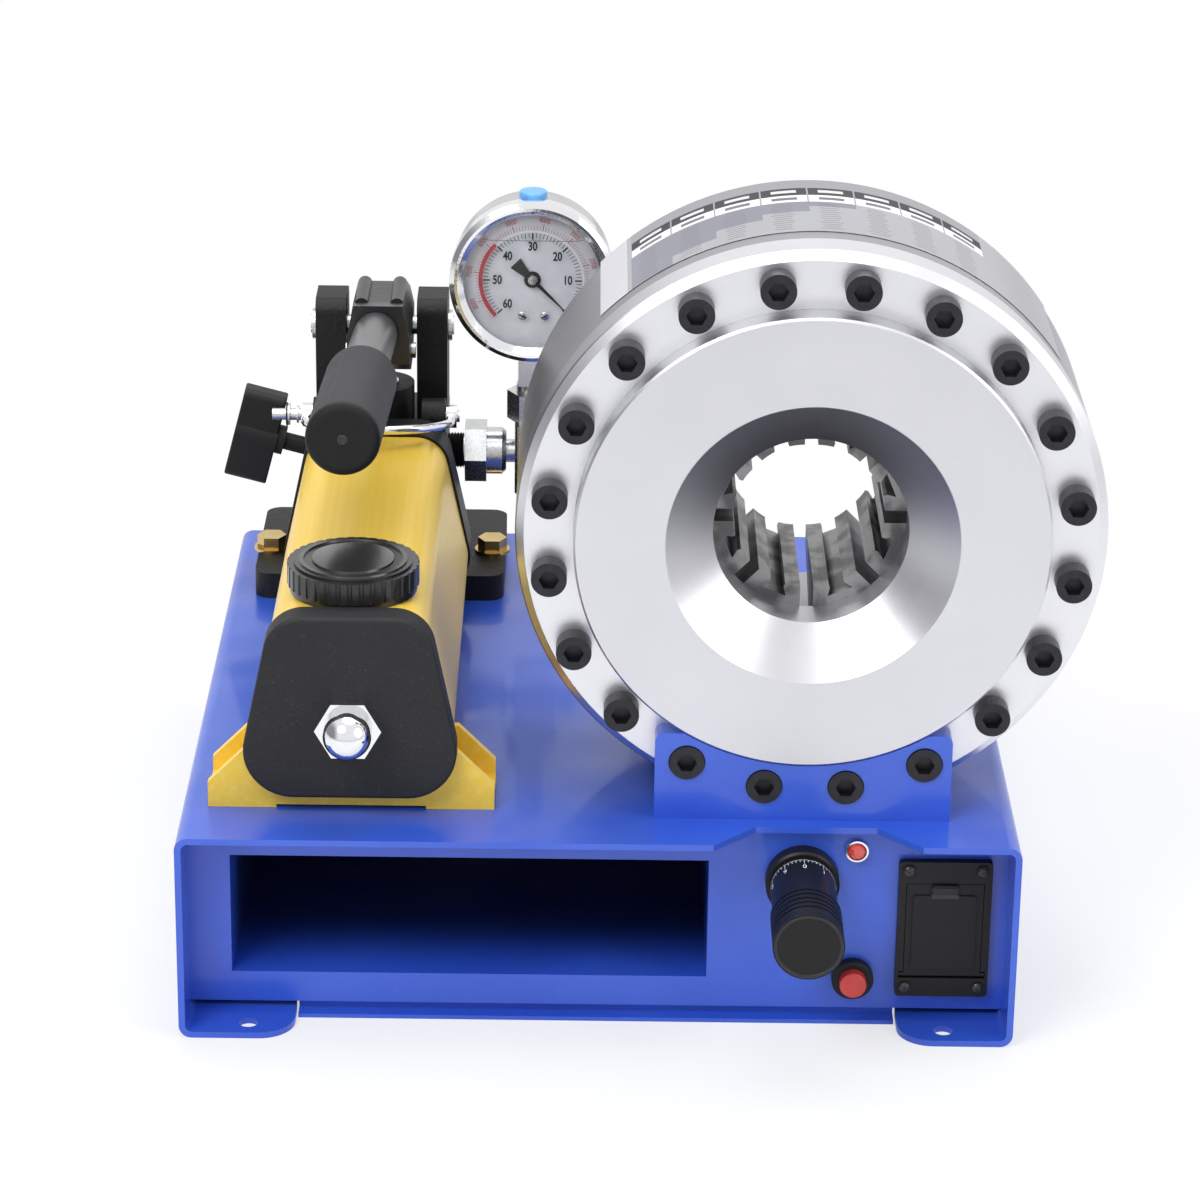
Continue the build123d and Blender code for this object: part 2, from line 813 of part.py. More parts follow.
with BuildPart() as pump_body:
    extrude(pump_profile(station(reservoir_end), boot / 2), amount=-casting_flange)
    with BuildSketch(Plane.XY.offset(base_height)) as ears:
        with Locations((pump_x, front_edge + pump_middle)):
            RectangleRounded(2 * ear_half, ear_back - ear_front, ear_round)
    extrude(amount=ear_height)
    body_start = reservoir_end + casting_flange
    with BuildSketch(Plane.XY.offset(base_height)) as block:
        with Locations((pump_x, front_edge + (body_start + casting_back) / 2)):
            Rectangle(2 * casting_half, casting_back - body_start)
        fillet(block.vertices().group_by(Axis.Y)[-1], 6)
    extrude(amount=block_top - base_height)
    for side in (-1, 1):
        with BuildSketch(station(fork_front)) as upright:
            with Locations((pump_x + side * fork_middle, (block_top + fork_top) / 2)):
                Rectangle(casting_half - fork_gap, fork_top - block_top)
        extrude(amount=-(fork_back - fork_front))
    front_tops = (
        pump_body.edges().filter_by(Axis.X).group_by(Axis.Z)[-1]
    )
    fillet(front_tops, 7)
    with BuildSketch(Plane.XY.offset(block_top)):
        with Locations((pump_x, front_edge + plunger_y)):
            Circle(boss_radius)
    extrude(amount=boss_top - block_top)
    with BuildSketch(Plane.XY.offset(boss_top)):
        with Locations((pump_x, front_edge + plunger_y)):
            Circle(plunger_diameter / 2 + running_fit)
    extrude(amount=-(boss_top - plunger_bottom + 10), mode=Mode.SUBTRACT)
    with BuildSketch(Plane.XY.offset(base_height)):
        with Locations(
            place(pump_x - ear_bolt_x, ear_bolt_y, 0)[:2], place(pump_x + ear_bolt_x, ear_bolt_y, 0)[:2]
        ):
            Circle(ear_bolt / 2 + running_fit)
    extrude(amount=ear_height, mode=Mode.SUBTRACT)
    with BuildSketch(Plane.YZ.offset(pump_x - casting_half)):
        with Locations((front_edge + fulcrum_y, fulcrum_z)):
            Circle(fulcrum_diameter / 2 + running_fit)
    extrude(amount=2 * casting_half, mode=Mode.SUBTRACT)
    for side in (-1, 1):
        with BuildSketch(Plane.YZ.offset(pump_x + side * casting_half)):
            with Locations((front_edge + bail_y, bail_z)):
                Circle(bail_lug)
            with Locations((front_edge + bail_y, (block_top + bail_z) / 2)):
                Rectangle(2 * bail_lug, bail_z - block_top)
        extrude(amount=-side * lug_thickness)
        with BuildSketch(Plane.YZ.offset(pump_x + side * casting_half)):
            with Locations((front_edge + bail_y, bail_z)):
                Circle(bail_pin / 2)
        extrude(amount=-side * lug_thickness, mode=Mode.SUBTRACT)
    extrude(discs(reservoir_end, [(pump_x, rod_z)], rod_diameter / 2 + running_fit),
            amount=-rod_grip, mode=Mode.SUBTRACT)
    with BuildSketch(knob_plane.offset(stem_start)):
        Circle(stem_diameter / 2 + running_fit)
    extrude(amount=stem_length - stem_start, mode=Mode.SUBTRACT)
    with BuildSketch(Plane.YZ.offset(pump_x + casting_half)):
        with Locations((front_edge + outlet_y, outlet_z)):
            Circle(thread_radius + running_fit)
    extrude(amount=-outlet_depth, mode=Mode.SUBTRACT)
    with BuildSketch(Plane.YZ.offset(pump_x - casting_half)):
        with Locations((front_edge + relief_y, relief_z)):
            Circle(relief_radius + running_fit)
    extrude(amount=relief_depth, mode=Mode.SUBTRACT)
save(pump_body, "pump_body")

with BuildPart() as relief_plug:
    with BuildSketch(Plane.YZ.offset(pump_x - casting_half + relief_depth)):
        with Locations((front_edge + relief_y, relief_z)):
            Circle(relief_radius)
    extrude(amount=-relief_depth)
    with BuildSketch(Plane.YZ.offset(pump_x - casting_half)):
        with Locations((front_edge + relief_y, relief_z)):
            hexagon(13)
    extrude(amount=-7)
save(relief_plug, "relief_plug")

with BuildPart() as ear_bolts:
    bolt_places = [
        place(pump_x - ear_bolt_x, ear_bolt_y, 0)[:2], place(pump_x + ear_bolt_x, ear_bolt_y, 0)[:2]
    ]
    ear_top = base_height + ear_height
    with BuildSketch(Plane.XY.offset(base_height)):
        with Locations(*bolt_places):
            Circle(ear_bolt / 2)
    extrude(amount=ear_height)
    with BuildSketch(Plane.XY.offset(ear_top)):
        with Locations(*bolt_places):
            Circle(9)
    extrude(amount=1.6)
    with BuildSketch(Plane.XY.offset(ear_top + 1.6)):
        with Locations(*bolt_places):
            hexagon(13)
    extrude(amount=6)
save(ear_bolts, "ear_bolts")

with BuildPart() as fulcrum_pin:
    with BuildSketch(Plane.YZ.offset(pump_x - casting_half - 3)):
        with Locations((front_edge + fulcrum_y, fulcrum_z)):
            Circle(fulcrum_diameter / 2)
    extrude(amount=2 * casting_half + 6)
    for cap_x in (pump_x - casting_half - 2.2, pump_x + casting_half + 0.2):
        with BuildSketch(Plane.YZ.offset(cap_x)):
            with Locations((front_edge + fulcrum_y, fulcrum_z)):
                Circle(fulcrum_diameter / 2 + 3)
        extrude(amount=2)
save(fulcrum_pin, "fulcrum_pin")

with BuildPart() as handle_socket:
    socket_left = pump_x - socket_half
    with BuildSketch(Plane.YZ.offset(socket_left)):
        with BuildLine():
            Polyline(
                (front_edge + socket_front, handle_axis_z - tube_diameter / 2 - 1),
                (front_edge + plunger_y - 7, plunger_pin_z - 8),
                (front_edge + plunger_y + 5, plunger_pin_z - 8),
                (front_edge + fulcrum_y + 6, fulcrum_z - 8),
                (front_edge + socket_back, fulcrum_z - 3),
                (front_edge + socket_back, socket_top - 5),
                (front_edge + socket_back - 8, socket_top),
                (front_edge + tube_start, socket_top),
                (front_edge + socket_front, socket_top + 3.5),
                close=True,
            )
        make_face()
    extrude(amount=2 * socket_half)
    fillet(handle_socket.edges().filter_by(Axis.Y), 1)
    for side in (-1, 1):
        with BuildSketch(station(socket_front - 1)):
            with BuildLine():
                Polyline(
                    (pump_x + side * socket_half, socket_waist),
                    (pump_x + side * (socket_half + 1), socket_waist),
                    (pump_x + side * (socket_half + 1), socket_top + 6),
                    (pump_x + side * socket_crown, socket_top + 6),
                    (pump_x + side * socket_crown, socket_top),
                    close=True,
                )
            make_face()
        extrude(amount=-(socket_back - socket_front + 2), mode=Mode.SUBTRACT)
        with BuildSketch(station(tube_start - knuckle)):
            with Locations((pump_x + side * (socket_crown - knuckle), socket_top - 0.5)):
                Circle(knuckle)
        extrude(amount=-(socket_back - tube_start - 6))
    slot_top = plunger_pin_z + 9.5
    with BuildSketch(station(plunger_y - 9.5)):
        with Locations((pump_x, slot_top - slot_length / 2)):
            Rectangle(tongue + 1, slot_length)
    extrude(amount=-40, mode=Mode.SUBTRACT)
    with BuildSketch(handle_plane.offset(fulcrum_y - tube_start)):
        Circle(tube_diameter / 2 + loose_fit)
    extrude(amount=40, mode=Mode.SUBTRACT)
    with BuildSketch(Plane.YZ.offset(socket_left)):
        with Locations((front_edge + fulcrum_y, fulcrum_z)):
            Circle(fulcrum_diameter / 2 + running_fit)
        with Locations((front_edge + plunger_y, plunger_pin_z)):
            Circle(pin_diameter / 2 + running_fit)
    extrude(amount=2 * socket_half, mode=Mode.SUBTRACT)
save(handle_socket, "handle_socket")

with BuildPart() as handle_tube:
    with BuildSketch(handle_plane.offset(fulcrum_y - tube_start)):
        Circle(tube_diameter / 2)
        Circle(tube_diameter / 2 - 2.5, mode=Mode.SUBTRACT)
    extrude(amount=handle_length - 4 - (fulcrum_y - tube_start))
save(handle_tube, "handle_tube")

with BuildPart() as handle_grip:
    with BuildSketch(handle_plane.offset(handle_length - grip_length)):
        Circle(grip_diameter / 2)
    extrude(amount=grip_length)
    fillet(handle_grip.edges().filter_by(GeomType.CIRCLE), 4)
    with BuildSketch(handle_plane.offset(handle_length - grip_length)):
        Circle(tube_diameter / 2 + 0.02)
    extrude(amount=grip_length - 4, mode=Mode.SUBTRACT)
save(handle_grip, "handle_grip")

tongue_top = plunger_pin_z + 7.5
shoulder = plunger_pin_z - tongue_reach
with BuildPart() as plunger:
    with BuildSketch(Plane.XY.offset(plunger_bottom)):
        with Locations((pump_x, front_edge + plunger_y)):
            Circle(plunger_diameter / 2)
    extrude(amount=shoulder - plunger_bottom)
    with BuildSketch(Plane.XY.offset(shoulder)):
        with Locations((pump_x, front_edge + plunger_y)):
            Rectangle(tongue, plunger_diameter - 3)
    extrude(amount=tongue_top - shoulder)
    fillet(plunger.edges().filter_by(Axis.X).group_by(Axis.Z)[-1], 5)
    with BuildSketch(Plane.YZ.offset(pump_x - tongue / 2)):
        with Locations((front_edge + plunger_y + 0.3, plunger_pin_z)):
            SlotOverall(pin_diameter + slot_play, pin_diameter + 0.8)
    extrude(amount=tongue, mode=Mode.SUBTRACT)
save(plunger, "plunger")

with BuildPart() as plunger_pin:
    with BuildSketch(Plane.YZ.offset(pump_x - socket_half - 2)):
        with Locations((front_edge + plunger_y, plunger_pin_z)):
            Circle(pin_diameter / 2)
    extrude(amount=2 * socket_half + 4)
save(plunger_pin, "plunger_pin")

with BuildPart() as release_knob:
    with BuildSketch(knob_plane.offset(-knob_width / 2)):
        RectangleRounded(knob_thickness, knob_span, 4)
        Circle(knob_thickness * 0.6)
    extrude(amount=knob_width)
    fillet(release_knob.faces().group_by(SortBy.AREA)[-1].edges().filter_by(GeomType.LINE), 1)
    with BuildSketch(knob_plane.offset(knob_width / 2)):
        Circle(7.5)
    extrude(amount=4)
    with BuildSketch(knob_plane.offset(knob_width / 2 + 4)):
        Circle(stem_diameter / 2)
    extrude(amount=stem_length - knob_width / 2 - 4)
save(release_knob, "release_knob")

with BuildPart() as bail_pins:
    for end_x, length in ((bail_pin_left, bail_stub_left), (bail_pin_right, -bail_stub_right)):
        with BuildSketch(Plane.YZ.offset(end_x)):
            with Locations((front_edge + bail_y, bail_z)):
                Circle(bail_pin / 2)
        extrude(amount=length)
    with BuildSketch(Plane.YZ.offset(bail_pin_left + 8)):
        with Locations((front_edge + bail_y, bail_z)):
            Circle(bail_pin / 2 + 2.5)
    extrude(amount=1)
save(bail_pins, "bail_pins")

bail_plane = Plane(
    origin=place(pump_x, bail_y, bail_z), x_dir=(1, 0, 0),
    z_dir=(0, math.sin(math.radians(bail_rise)), math.cos(math.radians(bail_rise))),
)
with BuildPart() as handle_bail:
    with BuildLine(bail_plane) as bail_path:
        FilletPolyline(
            (-bail_half, -4), (-bail_half, -bail_reach), (bail_half, -bail_reach), (bail_half, -4),
            radius=bail_half * 0.98,
        )
    with BuildSketch(bail_path.line ^ 0):
        Circle(bail_wire / 2)
    sweep(path=bail_path.line)
    for eye_x in (-bail_half, bail_half):
        with BuildSketch(Plane.YZ.offset(pump_x + eye_x - bail_wire / 2 - 0.3)):
            with Locations((front_edge + bail_y, bail_z)):
                Circle(bail_pin / 2 + 3)
        extrude(amount=bail_wire + 0.6)
    with BuildSketch(Plane.YZ.offset(pump_x - bail_half - bail_wire)):
        with Locations((front_edge + bail_y, bail_z)):
            Circle(bail_pin / 2 + running_fit)
    extrude(amount=2 * bail_half + 2 * bail_wire, mode=Mode.SUBTRACT)
save(handle_bail, "handle_bail")

# Fittings, pipe and gauge -----------------------------------------------------------------------
def across(x):
    """The plane at x that faces +X; its own axes are +Y and +Z."""
    return Plane.YZ.offset(x)


def outlet_disc(x, radius):
    """A disc about the outlet's axis on the plane at x, as a sketch."""
    with BuildSketch(across(x)) as drawn:
        with Locations((front_edge + outlet_y, outlet_z)):
            Circle(radius)
    return drawn.sketch


def outlet_hexagon(x, size):
    """A hexagon about the outlet's axis on the plane at x, as a sketch."""
    with BuildSketch(across(x)) as drawn:
        with Locations((front_edge + outlet_y, outlet_z)):
            hexagon(size)
    return drawn.sketch


casting_side = pump_x + casting_half
nut_start = casting_side + adapter_show
tail_start = nut_start + nut_thick
tail_end = tail_start + tail_length
tee_start = tail_end + 4.5
tee_middle = gauge_x
tee_end = tee_middle + tee_half
tee_top = outlet_z + tee_height / 2

with BuildPart() as outlet_adapter:
    extrude(outlet_disc(casting_side - outlet_depth, thread_radius), amount=outlet_depth + adapter_show)
    extrude(outlet_disc(nut_start, thread_radius), amount=nut_thick - 3)
    extrude(outlet_disc(casting_side - outlet_depth, 3),
            amount=outlet_depth + adapter_show + nut_thick, mode=Mode.SUBTRACT)
save(outlet_adapter, "outlet_adapter")

with BuildPart() as coupling_nut:
    extrude(outlet_hexagon(nut_start, nut_across), amount=nut_thick)
    extrude(outlet_disc(nut_start, thread_radius + running_fit), amount=nut_thick - 3,
            mode=Mode.SUBTRACT)
    extrude(outlet_disc(nut_start, 6), amount=nut_thick, mode=Mode.SUBTRACT)
save(coupling_nut, "coupling_nut")

with BuildPart() as coupling_tail:
    extrude(outlet_disc(tail_start, tail_radius), amount=tail_length)
    chamfer(coupling_tail.edges().filter_by(GeomType.CIRCLE).sort_by(Axis.X)[-1], 2)
    extrude(outlet_disc(tail_end, 6), amount=tee_start - tail_end)
    extrude(outlet_disc(tail_start, 3), amount=tee_start - tail_start, mode=Mode.SUBTRACT)
save(coupling_tail, "coupling_tail")

with BuildPart() as tee_block:
    with BuildSketch(Plane.XY.offset(outlet_z - tee_height / 2)):
        with Locations(((tee_start + tee_end) / 2, front_edge + outlet_y)):
            RectangleRounded(tee_end - tee_start, 2 * tee_half, 2)
    extrude(amount=tee_height)
    extrude(outlet_disc(tee_start, 3), amount=tee_end - tee_start, mode=Mode.SUBTRACT)
    with BuildSketch(Plane.XY.offset(tee_top)):
        with Locations((tee_middle, front_edge + outlet_y)):
            Circle(3)
    extrude(amount=-tee_height / 2, mode=Mode.SUBTRACT)
save(tee_block, "tee_block")

with BuildPart() as gauge_adapter:
    with BuildSketch(Plane.XY.offset(tee_top)):
        with Locations((tee_middle, front_edge + outlet_y)):
            hexagon(adapter_size)
    extrude(amount=adapter_height)
    with BuildSketch(Plane.XY.offset(tee_top + adapter_height)):
        with Locations((tee_middle, front_edge + outlet_y)):
            Circle(8)
    extrude(amount=4)
    with BuildSketch(Plane.XY.offset(tee_top)):
        with Locations((tee_middle, front_edge + outlet_y)):
            Circle(3)
    extrude(amount=adapter_height + 4, mode=Mode.SUBTRACT)
save(gauge_adapter, "gauge_adapter")

pipe_end = head_back + 6
with BuildPart() as feed_pipe:
    pipe_y = front_edge + outlet_y
    with BuildLine(Plane.XY.offset(outlet_z)) as pipe_path:
        FilletPolyline(
            (tee_end + 8, pipe_y), (feed_x, pipe_y), (feed_x, front_edge + pipe_end - 6),
            radius=pipe_bend,
        )
    with BuildSketch(pipe_path.line ^ 0):
        Circle(pipe_radius)
    sweep(path=pipe_path.line)
    extrude(outlet_hexagon(tee_end, 17), amount=8)
    with BuildSketch(station(pipe_end)):
        with Locations((feed_x, feed_z)):
            hexagon(17)
    extrude(amount=-10)
save(feed_pipe, "feed_pipe")

gauge_plane = Plane(
    origin=place(gauge_x, gauge_front, gauge_z), x_dir=(0, -1, 0), z_dir=(-1, 0, 0)
)
gauge_axis = Axis(place(gauge_x, gauge_front, gauge_z), (0, -1, 0))


def turn_on_gauge(*points):
    """Turns a closed profile of (distance in front of the bezel's face, radius) for the gauge."""
    revolve(outline(gauge_plane, *points), axis=gauge_axis)


glass_back = -gauge_face_depth
dial_back = glass_back - 5
case_radius = gauge_radius - 2
stem_base = tee_top + adapter_height + 4
with BuildPart() as gauge_case:
    turn_on_gauge(
        (dial_back, 0), (dial_back, case_radius - 1.5), (-2, case_radius - 1.5), (-2, case_radius),
        (3 - gauge_depth, case_radius), (-gauge_depth, case_radius - 3), (-gauge_depth, 0),
    )
    with BuildSketch(Plane.XY.offset(stem_base)):
        with Locations((gauge_x, front_edge + outlet_y)):
            Rectangle(stem_top_size, stem_top_size)
    extrude(amount=gauge_z - stem_base - case_radius + 6)
    with BuildSketch(Plane.XY.offset(gauge_z + case_radius - plug_depth)):
        with Locations((gauge_x, front_edge + gauge_front + gauge_depth / 2)):
            Circle(plug_radius + running_fit)
    extrude(amount=plug_depth, mode=Mode.SUBTRACT)
save(gauge_case, "gauge_case")

with BuildPart() as gauge_bezel:
    lip_radius = case_radius - 1.6
    turn_on_gauge(
        (-10, case_radius + 0.02), (-10, gauge_radius), (-2, gauge_radius), (0, gauge_radius - 2.5),
        (0, gauge_radius - gauge_rim), (glass_back + 2, case_radius - 5),
        (glass_back + 2, lip_radius), (-2, lip_radius), (-2, case_radius + 0.02),
    )
save(gauge_bezel, "gauge_bezel")

with BuildPart() as gauge_glass:
    turn_on_gauge(
        (glass_back, 0), (glass_back, case_radius - 1.6),
        (glass_back + 2, case_radius - 1.6), (glass_back + 2, 0),
    )
save(gauge_glass, "gauge_glass")

with BuildPart() as gauge_dial:
    turn_on_gauge(
        (dial_back, 0), (dial_back, case_radius - 1.6),
        (dial_back + 1, case_radius - 1.6), (dial_back + 1, 0),
    )
    with BuildSketch(station(gauge_front - dial_back - 1)):
        with Locations((gauge_x, gauge_z)):
            Circle(1.2)
    extrude(amount=2.6)
save(gauge_dial, "gauge_dial")

pointer_back = dial_back + 2
pointer_turn = math.radians(pointer_rest)
point = Vector(math.cos(pointer_turn), math.sin(pointer_turn))
side = Vector(-point.Y, point.X)
with BuildPart() as gauge_pointer:
    with BuildSketch(station(gauge_front - pointer_back)):
        with Locations((gauge_x, gauge_z)):
            Circle(4.2)
        with BuildLine():
            centre = Vector(gauge_x, gauge_z)
            Polyline(
                centre + point * pointer_length,
                centre + side * 1.1,
                centre - point * 12 + side * 3.5,
                centre - point * 12 - side * 3.5,
                centre - side * 1.1,
                close=True,
            )
        make_face()
    extrude(amount=0.8)
    with BuildSketch(station(gauge_front - pointer_back)):
        with Locations((gauge_x, gauge_z)):
            Circle(1.2 + running_fit)
    extrude(amount=0.8, mode=Mode.SUBTRACT)
save(gauge_pointer, "gauge_pointer")

with BuildPart() as gauge_plug:
    vent_y = front_edge + gauge_front + gauge_depth / 2
    with BuildSketch(Plane.XY.offset(gauge_z + case_radius - plug_depth)):
        with Locations((gauge_x, vent_y)):
            Circle(plug_radius)
    extrude(amount=plug_depth + 4)
    fillet(gauge_plug.edges().filter_by(GeomType.CIRCLE).sort_by(Axis.Z)[-1], 1)
save(gauge_plug, "gauge_plug")

# The front panel's fittings ---------------------------------------------------------------------
panel_front = panel_recess
flange_front = panel_front - dial_flange
with BuildPart() as dial_barrel:
    extrude(discs(panel_front, [(dial_x, dial_z)], dial_flange_radius), amount=dial_flange)
    chamfer(dial_barrel.edges().filter_by(GeomType.CIRCLE).sort_by(Axis.Y)[0], 1)
    extrude(discs(panel_front, [(dial_x, dial_z)], fitting_radius), amount=-sheet - fitting_tail)
    extrude(discs(flange_front, [(dial_x, dial_z)], dial_hub_radius), amount=dial_hub)
    extrude(discs(flange_front - dial_hub, [(dial_x, dial_z)], dial_spindle_radius + running_fit),
            amount=-dial_hub - dial_flange - sheet - fitting_tail, mode=Mode.SUBTRACT)
save(dial_barrel, "dial_barrel")

sleeve_end = flange_front - loose_fit
grip_start = sleeve_end - dial_sleeve
with BuildPart() as dial_thimble:
    extrude(discs(grip_start, [(dial_x, dial_z)], dial_sleeve_radius), amount=-dial_sleeve)
    extrude(discs(dial_end, [(dial_x, dial_z)], dial_radius), amount=dial_end - grip_start)
    for groove in range(5):
        groove_y = grip_start - 3 - 4.2 * groove
        extrude(discs(groove_y, [(dial_x, dial_z)], dial_radius), amount=1.2, mode=Mode.SUBTRACT)
        extrude(discs(groove_y, [(dial_x, dial_z)], dial_radius - 1), amount=1.2)
    extrude(discs(sleeve_end, [(dial_x, dial_z)], dial_hub_radius + running_fit),
            amount=dial_hub + 0.5, mode=Mode.SUBTRACT)
save(dial_thimble, "dial_thimble")

spindle_front = flange_front - spindle_set_back
with BuildPart() as dial_spindle:
    extrude(discs(spindle_front, [(dial_x, dial_z)], dial_spindle_radius),
            amount=-(panel_front + sheet + fitting_tail - spindle_front + dial_spindle_length))
save(dial_spindle, "dial_spindle")

with BuildPart() as pilot_lamp:
    extrude(discs(panel_front, [(lamp_x, lamp_z)], 5.4), amount=1.8)
    extrude(discs(panel_front, [(lamp_x, lamp_z)], 4), amount=-sheet - fitting_tail)
    extrude(discs(panel_front - 1.8, [(lamp_x, lamp_z)], 4), amount=1.2)
    fillet(pilot_lamp.edges().filter_by(GeomType.CIRCLE).sort_by(Axis.Y)[0], 1)
save(pilot_lamp, "pilot_lamp")

with BuildPart() as button_bezel:
    extrude(discs(panel_front, [(button_x, button_z)], button_bezel_radius), amount=button_rim)
    fillet(button_bezel.edges().filter_by(GeomType.CIRCLE).sort_by(Axis.Y)[0], 1)
    extrude(discs(panel_front, [(button_x, button_z)], 7.9), amount=-sheet - 14)
    extrude(discs(panel_front - button_rim, [(button_x, button_z)], button_radius + running_fit),
            amount=-(button_rim + sheet + 11), mode=Mode.SUBTRACT)
save(button_bezel, "button_bezel")

with BuildPart() as push_button:
    extrude(discs(panel_front - button_rim - button_proud, [(button_x, button_z)], button_radius),
            amount=-(button_proud + button_rim + sheet + 11 - button_travel - 0.3))
    fillet(push_button.edges().filter_by(GeomType.CIRCLE).sort_by(Axis.Y)[0], 0.8)
save(push_button, "push_button")

box_front = panel_front - box_proud
lid_bottom = box_z - lid_height / 2
with BuildPart() as battery_box:
    with BuildSketch(station(box_front)):
        with Locations((box_x, box_z)):
            RectangleRounded(box_width, box_height, 2)
    extrude(amount=-box_proud)
    with BuildSketch(station(panel_front)):
        with Locations((box_x, box_z)):
            Rectangle(lid_width, lid_height)
    extrude(amount=-box_depth)
    with BuildSketch(station(box_front)):
        with Locations((box_x, box_z)):
            Rectangle(lid_width + 2 * lid_gap, lid_height + 2 * lid_gap)
    extrude(amount=-lid_thickness - lid_gap, mode=Mode.SUBTRACT)
    with BuildSketch(station(box_front)):
        with Locations((box_x, box_z)):
            Rectangle(lid_width - 8, lid_height - 12)
    extrude(amount=-(box_proud + box_depth - 2), mode=Mode.SUBTRACT)
    for corner_x in (-1, 1):
        for corner_z in (-1, 1):
            place_here = [(box_x + corner_x * (box_width / 2 - 4.5),
                           box_z + corner_z * (box_height / 2 - 4.5))]
            extrude(discs(box_front, place_here, 3), amount=0.8)
    with BuildSketch(station(box_front)):
        with Locations((box_x, lid_bottom)):
            Rectangle(lid_width + 2 * lid_gap + 4, 2 * hinge_swing)
    extrude(amount=-lid_thickness - lid_gap, mode=Mode.SUBTRACT)
save(battery_box, "battery_box")

with BuildPart() as battery_lid:
    with BuildSketch(station(box_front)):
        with Locations((box_x, box_z)):
            Rectangle(lid_width, lid_height)
    extrude(amount=-lid_thickness)
    with BuildSketch(station(box_front)):
        with Locations((box_x, box_z - 1)):
            RectangleRounded(lid_width - 6, lid_height - 9, 1.5)
    extrude(amount=0.8)
    with BuildSketch(station(box_front - 0.8)):
        with Locations((box_x, box_z + lid_height / 2 - 3)):
            Rectangle(11, 5)
    extrude(amount=-0.8)
    with BuildSketch(across(box_x - lid_width / 2 - 2)):
        with Locations((front_edge + box_front + 1, lid_bottom)):
            Circle(1)
    extrude(amount=lid_width + 4)
save(battery_lid, "battery_lid")
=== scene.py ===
# %% [markdown]
# # A hand-pumped hose crimping machine
# The rigid parts of this machine come from a CAD model, which is loaded here as a fixed frame. Each part already
# stands where it belongs, in metres, with the machine's front towards -Y and the bench at Z = 0. This lesson dresses
# that frame: it gives every part a finish made of shader nodes, and adds the small things that are quicker to make
# as meshes, such as the print on the gauge, the label, the cross-head screws and the lamp's lens.

# %% Load the frame
import math

import bmesh
import bpy
from mathutils import Matrix, Vector


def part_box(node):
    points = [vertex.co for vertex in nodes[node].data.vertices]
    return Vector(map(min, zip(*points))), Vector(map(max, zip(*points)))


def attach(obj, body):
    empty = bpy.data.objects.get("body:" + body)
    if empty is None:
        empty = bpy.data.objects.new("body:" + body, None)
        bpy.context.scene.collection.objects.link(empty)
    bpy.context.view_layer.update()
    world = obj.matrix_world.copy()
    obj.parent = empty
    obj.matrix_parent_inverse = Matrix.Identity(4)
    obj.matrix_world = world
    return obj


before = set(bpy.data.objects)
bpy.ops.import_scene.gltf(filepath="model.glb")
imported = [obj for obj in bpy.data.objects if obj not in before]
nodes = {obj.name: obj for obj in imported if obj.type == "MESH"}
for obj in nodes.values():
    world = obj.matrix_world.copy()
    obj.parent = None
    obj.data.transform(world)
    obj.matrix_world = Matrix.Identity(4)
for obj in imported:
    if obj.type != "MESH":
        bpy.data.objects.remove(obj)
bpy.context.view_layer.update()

# %% [markdown]
# ## Seeing the machine
# A long lens from nearly two metres away keeps the round head round. The camera looks down a little, so that the top
# of the base, the reservoir and the barrel's label all show. Three turns give its direction: a very small yaw, the
# pitch, and the slight roll of a camera held by hand.

# %% The camera
CAMERA_PLACE = Vector((-0.0083, -1.8749, 0.8979))
CAMERA_PITCH = math.radians(22.01)
CAMERA_YAW = math.radians(0.253)
CAMERA_ROLL = math.radians(0.801)
CAMERA_LENS = 124.8     # millimetres
SENSOR_WIDTH = 36.0     # millimetres
CAMERA_REACH = 50.0

camera_data = bpy.data.cameras.new("camera")
camera_data.lens = CAMERA_LENS
camera_data.sensor_width = SENSOR_WIDTH
camera_data.clip_end = CAMERA_REACH
camera = bpy.data.objects.new("camera", camera_data)
bpy.context.scene.collection.objects.link(camera)
turn = (
    Matrix.Rotation(-CAMERA_YAW, 4, "Z")
    @ Matrix.Rotation(math.pi / 2 - CAMERA_PITCH, 4, "X")
    @ Matrix.Rotation(CAMERA_ROLL, 4, "Z")
)
camera.matrix_world = Matrix.Translation(CAMERA_PLACE) @ turn
bpy.context.scene.camera = camera
bpy.context.scene.view_settings.view_transform = "Standard"
print("camera", [round(v, 3) for v in camera.location], "lens", camera_data.lens)

# %% [markdown]
# ## Writing shaders as sums
# A shader is a graph of nodes, and a long graph is hard to read as a list of links. The class `Wire` holds one output
# socket and knows how to add, multiply and compare, so `1 - mask` makes a Math node by itself. `Graph` holds the
# nodes of one material or world. Its `node` method makes any node: it sets the node's own settings first, then fills
# its sockets with numbers or with wires. `Finish` is the graph of one material.

